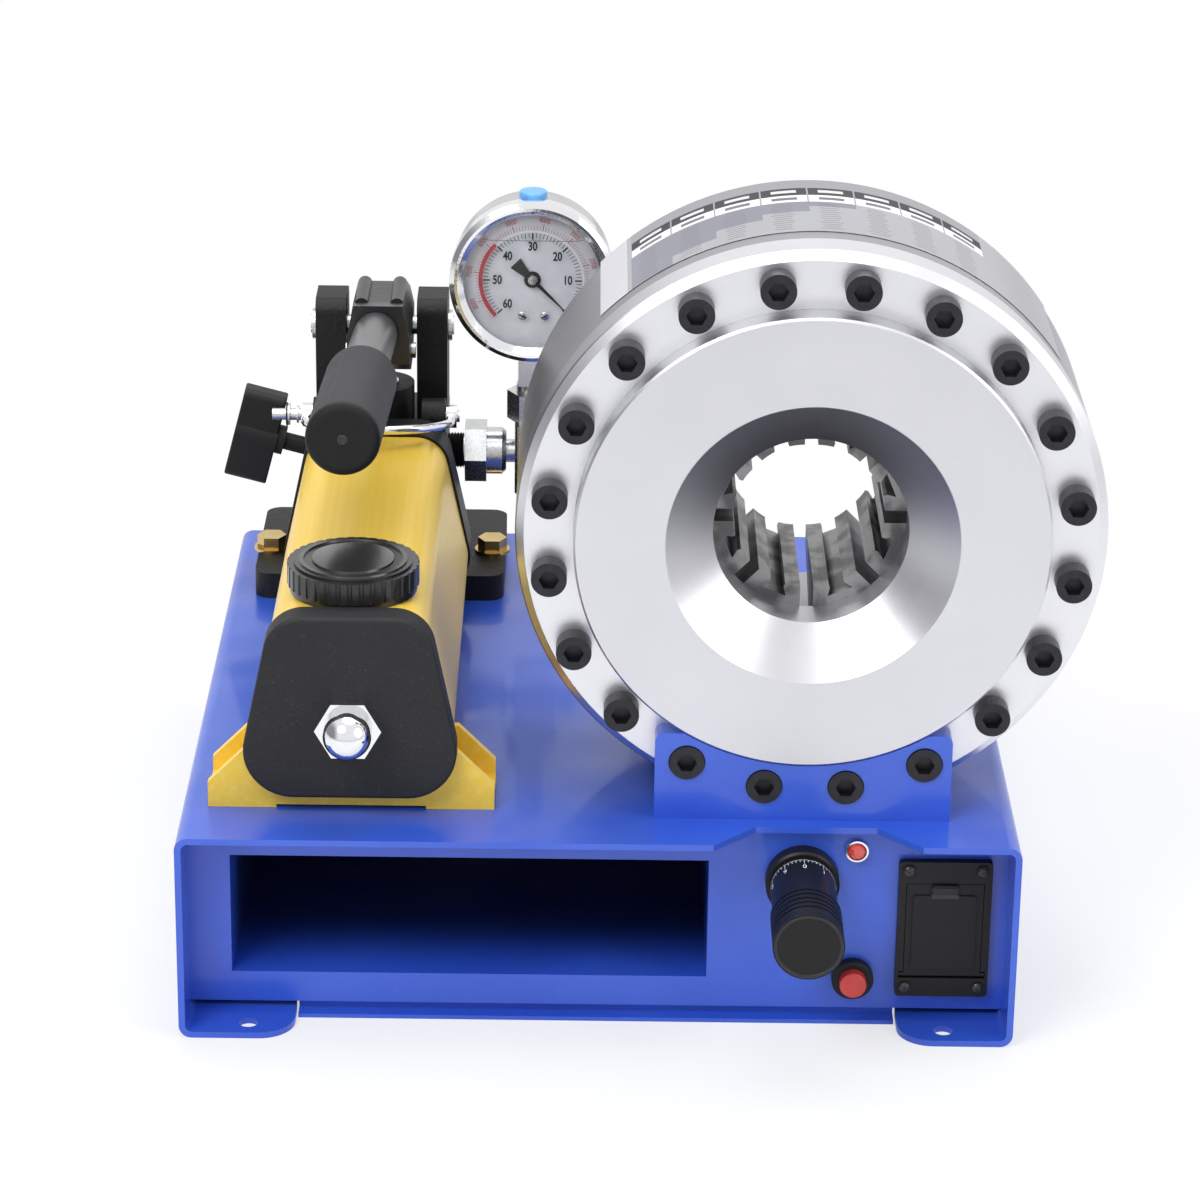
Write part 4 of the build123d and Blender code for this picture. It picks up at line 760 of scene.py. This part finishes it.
# %% Hub, dial screws and level line
steel_bits = plated(
    "bright_steel", (0.55, 0.55, 0.56), (0.72, 0.72, 0.73), low_roughness=0.2, grain_size=0.0008
)
COLLAR = [(TIP, 0.0006), (0.0036, 0.0006), (0.0038, 0.0003), (0.0038, 0.0)]
HUB_CAP = [(TIP, 0.0010), (0.0004, 0.0010), (0.0006, 0.0016), (0.0022, 0.0015), (0.0027, 0.0005)]
DIAL_SCREW = [(TIP, 0.0008), (0.0017, 0.0007), (0.0022, 0.0004), (0.0024, 0.0)]
SCREW_SPREAD, SCREW_SHIFT, SCREW_DROP = 0.0056, 0.0007, 0.0186
SLOT_LIFT, SLOT_WIDTH, SLOT_REACH, SLOT_RISE = 0.0009, 0.0007, 0.0017, 0.0009

hub_place = Vector((DIAL.x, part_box("gauge_pointer")[0].y, DIAL.z))
finish_piece("pointer_collar", turned(COLLAR, hub_place), black_ink, "pointer")
finish_piece("pointer_cap", turned(HUB_CAP, hub_place), steel_bits, "pointer")
for number, side in ((1, -1), (2, 1)):
    screw_place = Vector((DIAL.x + side * SCREW_SPREAD + SCREW_SHIFT, DIAL_FACE, DIAL.z - SCREW_DROP))
    screw = turned(DIAL_SCREW, screw_place, steps=24)
    finish_piece(f"dial_screw_{number}", screw, steel_bits, "machine")
    # Painted shade: the slot is a dark bar across the screw.
    slot_shade = bmesh.new()
    slot_middle = screw_place + SLOT_LIFT * FRONT
    slot_end = Vector((SLOT_REACH, 0, SLOT_RISE * side))
    add_bar(slot_shade, slot_middle - slot_end, slot_middle + slot_end, SLOT_WIDTH)
    finish_piece(f"dial_screw_slot_shade_{number}", slot_shade, black_ink, "machine")

LEVEL = 0.0208          # above the dial's centre
LEVEL_LIFT, LEVEL_WIDTH, LEVEL_MARGIN = 0.0008, 0.0003, 0.002
LEVEL_CLIMB, CLIMB_POWER = 0.003, 10
LEVEL_STEPS = 32
half_level = math.sqrt((DIAL_RADIUS - LEVEL_MARGIN) ** 2 - LEVEL**2)


def on_level(step):
    """A point on the level, which climbs the case at both ends."""
    across = 2 * step / LEVEL_STEPS - 1
    height = LEVEL + LEVEL_CLIMB * across**CLIMB_POWER
    return Vector((DIAL.x + half_level * across, DIAL_FACE - LEVEL_LIFT, DIAL.z + height))


level_line = bmesh.new()
for step in range(LEVEL_STEPS):
    add_bar(level_line, on_level(step), on_level(step + 1), LEVEL_WIDTH)
level_grey = smooth("level_grey", (0.16, 0.16, 0.18), roughness=0.3)
finish_piece("gauge_level_line", level_line, level_grey, "machine")

# %% [markdown]
# ## The label on the barrel
# A printed film is wrapped over the top of the barrel: a light band at its left, a dark strip and a row of pale
# cells towards the rear, and in front of them a darker field that steps back as the cells run on. Its table is
# generic: short bars stand where entries would be, and it carries no words. The film is one edge spun about the
# head's axis, a fifth of a millimetre proud of the steel. Its print is painted by a shader that measures the angle
# round the axis, and how far a point lies from the film's rear edge as a share of its width.

# %% Label
LABEL_START, LABEL_END = math.radians(136), math.radians(34)
LABEL_LIFT = 0.0002
LABEL_FRONT = barrel_low.y + 0.010
LABEL_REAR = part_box("rear_cover")[1].y - 0.0025
LIGHT_BAND_END = math.radians(129)
TABLE_START, TABLE_END = math.radians(128), math.radians(54)
COLUMNS, ROWS = 8, 26
REAR_MARGIN = 0.16
DARK_STRIP, DARK_STRIP_BARS = (0.16, 0.30), (0.2, 0.25)
PALE_CELLS, PALE_CELL_BARS = (0.30, 0.43), (0.34, 0.39)
FIELD_START, FIELD_ENDS = 0.43, (1.0, 0.85, 0.72, 0.62, 0.52)
ENTRIES, ENTRY_HEIGHT = (0.46, 0.95), (0.3, 0.62)
ENTRY_MIDDLE, ENTRY_HALF, ENTRY_RAGGED = 0.42, 0.16, 0.1
GAP_FROM_MIDDLE, BAR_FROM_MIDDLE = 0.482, 0.27
INK, GREY_INK = (0.08, 0.08, 0.09), (0.08, 0.08, 0.1)


def label_film():
    film = Finish("label_film")
    _, across, up, depth = from_axis(film, HEAD_AXIS)
    angle = up.maths("ARCTAN2", up, across)
    rear = (LABEL_REAR - HEAD_AXIS.y - depth) / (LABEL_REAR - LABEL_FRONT)
    cells = (TABLE_START - angle) * (COLUMNS / (TABLE_START - TABLE_END))
    column = cells.floor()
    part = cells - column
    in_table = cells.between(0, COLUMNS)
    dark = in_table * rear.between(*DARK_STRIP)
    white = in_table * rear.between(*PALE_CELLS)
    field = sum(
        cells.between(number, number + 1) * rear.between(FIELD_START, end)
        for number, end in enumerate(FIELD_ENDS)
    )
    from_middle = abs(part - 0.5)
    gap = from_middle > GAP_FROM_MIDDLE
    short_bar = from_middle < BAR_FROM_MIDDLE
    rows = rear * ROWS
    row = rows - rows.floor()
    entry = film.node("ShaderNodeCombineXYZ", None, {0: column, 1: rows.floor()})
    ragged = film.node("ShaderNodeTexWhiteNoise", {"noise_dimensions": "2D"}, {"Vector": entry})
    near_middle = abs(part - ENTRY_MIDDLE) < ragged * ENTRY_RAGGED + ENTRY_HALF
    line = row.between(*ENTRY_HEIGHT) * near_middle
    cloud = film.noise(0.03, film.place(), detail=3.0)
    layers = (
        (angle > LIGHT_BAND_END, (0.56, 0.56, 0.6)),
        (in_table * (rear < REAR_MARGIN), (0.24, 0.24, 0.26)),
        (field, (0.17, 0.17, 0.225)),
        (dark, (0.03, 0.03, 0.033)),
        (dark * short_bar * rear.between(*DARK_STRIP_BARS), (0.6, 0.6, 0.62)),
        (white, (0.86, 0.86, 0.88)),
        (white * short_bar * rear.between(*PALE_CELL_BARS), INK),
        ((dark + white) * gap, (0.3, 0.3, 0.32)),
        (in_table * rear.between(*ENTRIES) * line * 0.7, GREY_INK),
    )
    colour = film.mix(cloud, (0.3, 0.3, 0.325), (0.37, 0.37, 0.4))
    for share, tone in layers:
        colour = film.mix(share, colour, tone)
    return film.set(
        Base_Color=colour, Metallic=0.35 * (1.0 - dark), Coat_Weight=0.4 * (1.0 - dark),
        Coat_Roughness=0.15, Roughness=0.3 + 0.15 * cloud + 0.3 * dark,
    )


wrap = bmesh.new()
wrap_radius = BARREL_RADIUS + LABEL_LIFT
wrap_x = HEAD_AXIS.x + wrap_radius * math.cos(LABEL_START)
wrap_z = HEAD_AXIS.z + wrap_radius * math.sin(LABEL_START)
edge = [wrap.verts.new((wrap_x, y, wrap_z)) for y in (LABEL_FRONT, LABEL_REAR)]
bmesh.ops.spin(
    wrap, geom=[*edge, wrap.edges.new(edge)], cent=HEAD_AXIS, axis=(0, 1, 0),
    angle=LABEL_START - LABEL_END, steps=96,
)
bmesh.ops.recalc_face_normals(wrap, faces=wrap.faces)
for face in wrap.faces:
    if face.normal.dot(face.calc_center_median() - HEAD_AXIS) < 0:
        face.normal_flip()
finish_piece("barrel_label", wrap, label_film(), "machine")

# %% [markdown]
# ## The size dial's graduations
# The dial's sleeve carries white graduations near the panel: one line round the sleeve, fifty ticks that start from
# it, and a number at every fifth tick. Each number stands on the curved sleeve, so its matrix is built from three
# directions: along the sleeve's edge, towards the panel, and straight out of the surface.

# %% Size dial
thimble_low, thimble_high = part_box("dial_thimble")
KNOB = front_centre("dial_thimble")
SLEEVE_RADIUS, SLEEVE_LIFT, NUMBER_LIFT = 0.0148, 0.00006, 0.0001
MARK_LINE = thimble_high.y - 0.003
MARKS, MARKS_PER_NUMBER = 50, 5
MARK_LONG, MARK_SHORT, MARK_WIDTH, LINE_WIDTH = 0.0042, 0.0022, 0.00022, 0.00025
NUMBER_DEPTH, DIAL_NUMBER_SIZE = 0.0070, 0.0050
TOWARDS_PANEL = Vector((0, 1, 0))
END_RING = [(0.0138, 0.0), (0.0141, 0.0004), (0.0148, 0.0005), (0.0153, 0.0002)]


def round_knob(mark, y):
    """A point on the sleeve and the direction out of it, at a mark counted from the top."""
    angle = math.pi / 2 - 2 * math.pi * mark / MARKS
    out = Vector((math.cos(angle), 0, math.sin(angle)))
    return KNOB + (SLEEVE_RADIUS + SLEEVE_LIFT) * out + Vector((0, y, 0)), out


knob_print = bmesh.new()
for mark in range(MARKS):
    numbered = mark % MARKS_PER_NUMBER == 0
    here, out = round_knob(mark, MARK_LINE)
    add_bar(knob_print, here, round_knob(mark + 1, MARK_LINE)[0], LINE_WIDTH, facing=out)
    tip = here - (MARK_LONG if numbered else MARK_SHORT) * TOWARDS_PANEL
    add_bar(knob_print, here, tip, MARK_WIDTH, facing=out)
    if numbered:
        middle = here - NUMBER_DEPTH * TOWARDS_PANEL + NUMBER_LIFT * out
        stand = Matrix((TOWARDS_PANEL.cross(out), TOWARDS_PANEL, out)).transposed().to_4x4()
        number_place = Matrix.Translation(middle) @ stand
        add_words(knob_print, str(mark // MARKS_PER_NUMBER), DIAL_NUMBER_SIZE, number_place)
finish_piece("dial_graduations", knob_print, white_ink, "thimble")
knob_end = Vector((KNOB.x, thimble_low.y, KNOB.z))
ring_black = black("ring_black", tone=0.02, roughness=0.25, grain_size=0.0008, grain_depth=0.00003)
finish_piece("dial_end_ring", turned(END_RING, knob_end), ring_black, "thimble")

# %% [markdown]
# ## Screws and latch on the battery box
# Four cross-head screws hold the box. Each is a low turned dome, and the shade in its cross is painted as two dark
# bars that lie across it.
# The lid closes with a springy latch, a block whose edges are rounded by a bevel, above a thin dark gap.

# %% Battery box
box_low, box_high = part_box("battery_box")
SCREW_INSET = 0.0045
BOX_SCREW = [(TIP, 0.0009), (0.0012, 0.0008), (0.0021, 0.0005), (0.0025, 0.0)]
CROSS_ANGLE, CROSS_REACH, CROSS_WIDTH, CROSS_LIFT = 0.4, 0.0015, 0.0006, 0.00095
screw_black = black(
    "screw_black", tone=0.02, roughness=0.22, grain_size=0.0008, grain_depth=0.00003, coat=0.4
)
screw_places = [
    Vector((x, box_low.y, z))
    for x in (box_low.x + SCREW_INSET, box_high.x - SCREW_INSET)
    for z in (box_low.z + SCREW_INSET, box_high.z - SCREW_INSET)
]
for number, centre in enumerate(screw_places, start=1):
    dome = turned(BOX_SCREW, centre, steps=24)
    finish_piece(f"box_screw_{number}", dome, screw_black, "machine")
    # Painted shade: the cross recess is two dark bars.
    cross = bmesh.new()
    cross_middle = centre + CROSS_LIFT * FRONT
    for angle in (CROSS_ANGLE, CROSS_ANGLE + math.pi / 2):
        arm = Vector((math.cos(angle), 0, math.sin(angle))) * CROSS_REACH
        add_bar(cross, cross_middle - arm, cross_middle + arm, CROSS_WIDTH)
    finish_piece(f"box_screw_cross_shade_{number}", cross, black_ink, "machine")

lid_low, lid_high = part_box("battery_lid")
LATCH_SIZE, LATCH_BEVEL, LATCH_PROUD, LATCH_DROP = (0.0125, 0.0022, 0.0042), 0.0008, 0.0006, 0.0022
GAP_SIZE, GAP_BEVEL, GAP_SHIFT = (0.0125, 0.0006, 0.0024), 0.0002, Vector((0, 0.0005, -0.0034))
lid_middle = (lid_low.x + lid_high.x) / 2
latch_place = Vector((lid_middle, lid_low.y - LATCH_PROUD, lid_high.z - LATCH_DROP))
latch_skin = black("latch_plastic", tone=0.018, roughness=0.35, grain_size=0.0008, grain_depth=0.00006)
latch = block(latch_place, LATCH_SIZE, LATCH_BEVEL)
finish_piece("battery_latch", latch, latch_skin, "lid")
shadow_gap = block(latch_place + GAP_SHIFT, GAP_SIZE, GAP_BEVEL)
finish_piece("latch_shadow_gap", shadow_gap, black_ink, "lid")

# %% [markdown]
# ## Lamp, filler cap, grip and pins
# The lamp is a faceted red lens in a bright ring. The filler cap has a raised glossy disc inside a low ring. The grip
# shows the dimple and the seam that its mould left, and the long bail pin carries a clip and three washers. The
# outlet's black thread shows between the casting and its nut, as a stack of fine ridges.

# %% Small fittings
LAMP = front_centre("pilot_lamp", PANEL_FRONT)
LAMP_BEZEL = [(0.0042, 0.0019), (0.0044, 0.0027), (0.0052, 0.0026), (0.0057, 0.0017), (0.0058, 0.0)]
LAMP_LENS = [(TIP, 0.0040), (0.0018, 0.0038), (0.0034, 0.0033), (0.0042, 0.0022)]
FACETS = 10
lamp_chrome = plated(
    "lamp_chrome", (0.75, 0.76, 0.78), (0.86, 0.86, 0.88), low_roughness=0.05, grain_size=0.001
)
finish_piece("lamp_bezel", turned(LAMP_BEZEL, LAMP), lamp_chrome, "machine")
lens_red = smooth("lens_red", (0.6, 0.05, 0.035), roughness=0.08, coat=1.0)
lens = turned(LAMP_LENS, LAMP, steps=FACETS)
finish_piece("lamp_lens", lens, lens_red, "machine", sharp=5)

cap_low, cap_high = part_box("filler_cap")
UP = Vector((0, 0, 1))
CAP_TOP = Vector(((cap_low.x + cap_high.x) / 2, (cap_low.y + cap_high.y) / 2, cap_high.z))
CAP_DISC = [(TIP, 0.0013), (0.0170, 0.0012), (0.0186, 0.0009), (0.0190, -0.0001)]
CAP_RING = [(0.0222, -0.0001), (0.0226, 0.0008), (0.0246, 0.0008), (0.0250, -0.0001)]
cap_gloss = black(
    "cap_gloss", tone=0.012, roughness=0.12, grain_size=0.004, grain_depth=0.00005, coat=0.9
)
finish_piece("filler_cap_disc", turned(CAP_DISC, CAP_TOP, UP), cap_gloss, "filler")
finish_piece("filler_cap_ring", turned(CAP_RING, CAP_TOP, UP), cap_gloss, "filler")

GRIP_END = GRIP_MIDDLE + GRIP_HALF * GRIP_AIM
DIMPLE = [(TIP, 0.00005), (0.0013, 0.0001), (0.0015, 0.0004), (0.0021, 0.0003), (0.0024, 0.0)]
SEAM_ANGLE, SEAM_LIFT, SEAM_MARGIN, SEAM_WIDTH = math.radians(24), 0.00008, 0.0045, 0.0006
finish_piece("grip_dimple", turned(DIMPLE, GRIP_END, GRIP_AIM, steps=24), black_ink, "handle")
seam_out = Matrix.Rotation(SEAM_ANGLE, 3, GRIP_AIM) @ UP
seam_out = (seam_out - seam_out.dot(GRIP_AIM) * GRIP_AIM).normalized()
seam_middle = GRIP_MIDDLE + (GRIP_RADIUS + SEAM_LIFT) * seam_out
seam_reach = (GRIP_HALF - SEAM_MARGIN) * GRIP_AIM
seam = bmesh.new()
add_bar(seam, seam_middle - seam_reach, seam_middle + seam_reach, SEAM_WIDTH, facing=seam_out)
finish_piece("grip_seam", seam, rubber("seam_mark", tone=0.045, grain_size=0.0011), "handle")

pin_low, pin_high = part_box("bail_pins")
RIGHT = Vector((1, 0, 0))
PIN = Vector((pin_low.x, (pin_low.y + pin_high.y) / 2, (pin_low.z + pin_high.z) / 2))
PIN_RADIUS = 0.003
CLIP_RADIUS, CLIP_THICKNESS, CLIP_X = 0.0061, 0.0006, 0.0071
WASHER_RADIUS, WASHER_THICKNESS, WASHER_X = 0.0044, 0.0009, (0.0125, 0.0150, 0.0175)


def washer(radius, thickness, x):
    profile = [(PIN_RADIUS, 0), (radius, 0), (radius, thickness), (PIN_RADIUS, thickness)]
    return turned(profile, PIN + x * RIGHT, RIGHT, steps=32)


clip = washer(CLIP_RADIUS, CLIP_THICKNESS, CLIP_X)
finish_piece("pin_clip", clip, black_ink, "machine")
for number, x in enumerate(WASHER_X, start=1):
    shape = washer(WASHER_RADIUS, WASHER_THICKNESS, x)
    finish_piece(f"pin_washer_{number}", shape, steel_bits, "machine")

adapter_low, adapter_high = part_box("outlet_adapter")
OUTLET = Vector((0, (adapter_low.y + adapter_high.y) / 2, (adapter_low.z + adapter_high.z) / 2))
RIDGES, RIDGE_PITCH = 6, 0.0015
RIDGE_ROOT, RIDGE_CREST = 0.0083, 0.0092
thread_profile = []
for ridge in range(RIDGES):
    root, crest = ridge * RIDGE_PITCH, (ridge + 0.5) * RIDGE_PITCH
    thread_profile += [(RIDGE_ROOT, root), (RIDGE_CREST, crest)]
thread_start = OUTLET + (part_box("coupling_nut")[0].x - RIDGES * RIDGE_PITCH) * RIGHT
thread_black = black("thread_black", tone=0.012, roughness=0.3, grain_size=0.0008, grain_depth=0.00004)
thread = turned(thread_profile, thread_start, RIGHT, steps=40)
finish_piece("outlet_thread", thread, thread_black, "machine")

# %% [markdown]
# ## Studio
# The machine stands on a plain pale floor in soft light from large lamps: one over the front left, a weaker one to
# the right and a broad one above. Metal shows whatever surrounds it, so the world is white to the camera and in
# reflections, but for one grey wall at the left, and only a soft grey when it lights matt surfaces. The floor turns
# to pure white with distance, so it has no edge.

# %% Floor, lamps and world
FLOOR_RADIUS, FADE_START, FADE_END = 6.0, 0.25, 1.0
NEAR_GLOW, MIRRORED_GLOW = 0.6, 0.25
SOFT_LIGHT, SOFT_STRENGTH = (0.95, 0.97, 1.0), 0.5
WHITE, WALL_GREY = (1.0, 1.0, 1.0), (0.3, 0.3, 0.32)
WALL_START, WALL_FULL = 0.6, 0.9


def blended(graph, share, first, second):
    """Two shaders in one, with the given share of the second."""
    return graph.node("ShaderNodeMixShader", None, {0: share, 1: first, 2: second})


def studio_floor():
    """A pale floor that glows white to the camera, fully so at a distance."""
    paint = Finish("studio_floor", Base_Color=(0.86, 0.86, 0.87), Roughness=0.7)
    spot = paint.place()
    x, y = paint.axis("X", spot), paint.axis("Y", spot)
    far = paint.band((x * x + y * y).root(), FADE_START, FADE_END)
    direct = paint.rays("Camera") + paint.rays("Transmission")
    glow = direct * (NEAR_GLOW + (1 - NEAR_GLOW) * far) + paint.rays("Glossy") * MIRRORED_GLOW
    matt = Wire(paint, paint.shader.outputs[0])
    lit = blended(paint, glow, matt, paint.node("ShaderNodeEmission"))
    paint.tree.links.new(lit.socket, paint.output.inputs[0])
    return paint.material


floor_shape = bmesh.new()
bmesh.ops.create_circle(floor_shape, cap_ends=True, segments=64, radius=FLOOR_RADIUS)
floor_mesh = bpy.data.meshes.new("floor")
floor_shape.to_mesh(floor_mesh)
floor_shape.free()
floor_mesh.materials.append(studio_floor())
floor = bpy.data.objects.new("floor", floor_mesh)
bpy.context.scene.collection.objects.link(floor)


def lamp(name, place, aim, size, power):
    data = bpy.data.lights.new(name, "AREA")
    data.shape = "DISK"
    data.size = size
    data.energy = power
    holder = bpy.data.objects.new(name, data)
    bpy.context.scene.collection.objects.link(holder)
    turn = (Vector(aim) - Vector(place)).to_track_quat("-Z", "Y").to_matrix().to_4x4()
    holder.matrix_world = Matrix.Translation(place) @ turn


lamp("key", (-0.9, -1.3, 1.7), (0, 0, 0.15), size=1.2, power=26)
lamp("fill", (1.4, -0.9, 0.9), (0, 0, 0.15), size=1.2, power=9)
lamp("top", (0.1, 0.2, 2.0), (0, 0, 0.1), size=1.6, power=22)

world = bpy.data.worlds.new("studio")
bpy.context.scene.world = world
sky = Graph(world)
ahead = sky.node("ShaderNodeTexCoord", output="Generated")
wall = sky.band(sky.axis("X", ahead) * -1.0, WALL_START, WALL_FULL)
surroundings = sky.mix(wall * sky.rays("Glossy"), WHITE, WALL_GREY)
bright = sky.node("ShaderNodeBackground", None, {"Color": surroundings})
soft = sky.node("ShaderNodeBackground", None, {"Color": SOFT_LIGHT, "Strength": SOFT_STRENGTH})
direct = sky.rays("Camera").larger(sky.rays("Transmission"))
seen = blended(sky, direct.larger(sky.rays("Glossy")), soft, bright)
surface = sky.tree.nodes.new("ShaderNodeOutputWorld")
sky.tree.links.new(seen.socket, surface.inputs["Surface"])
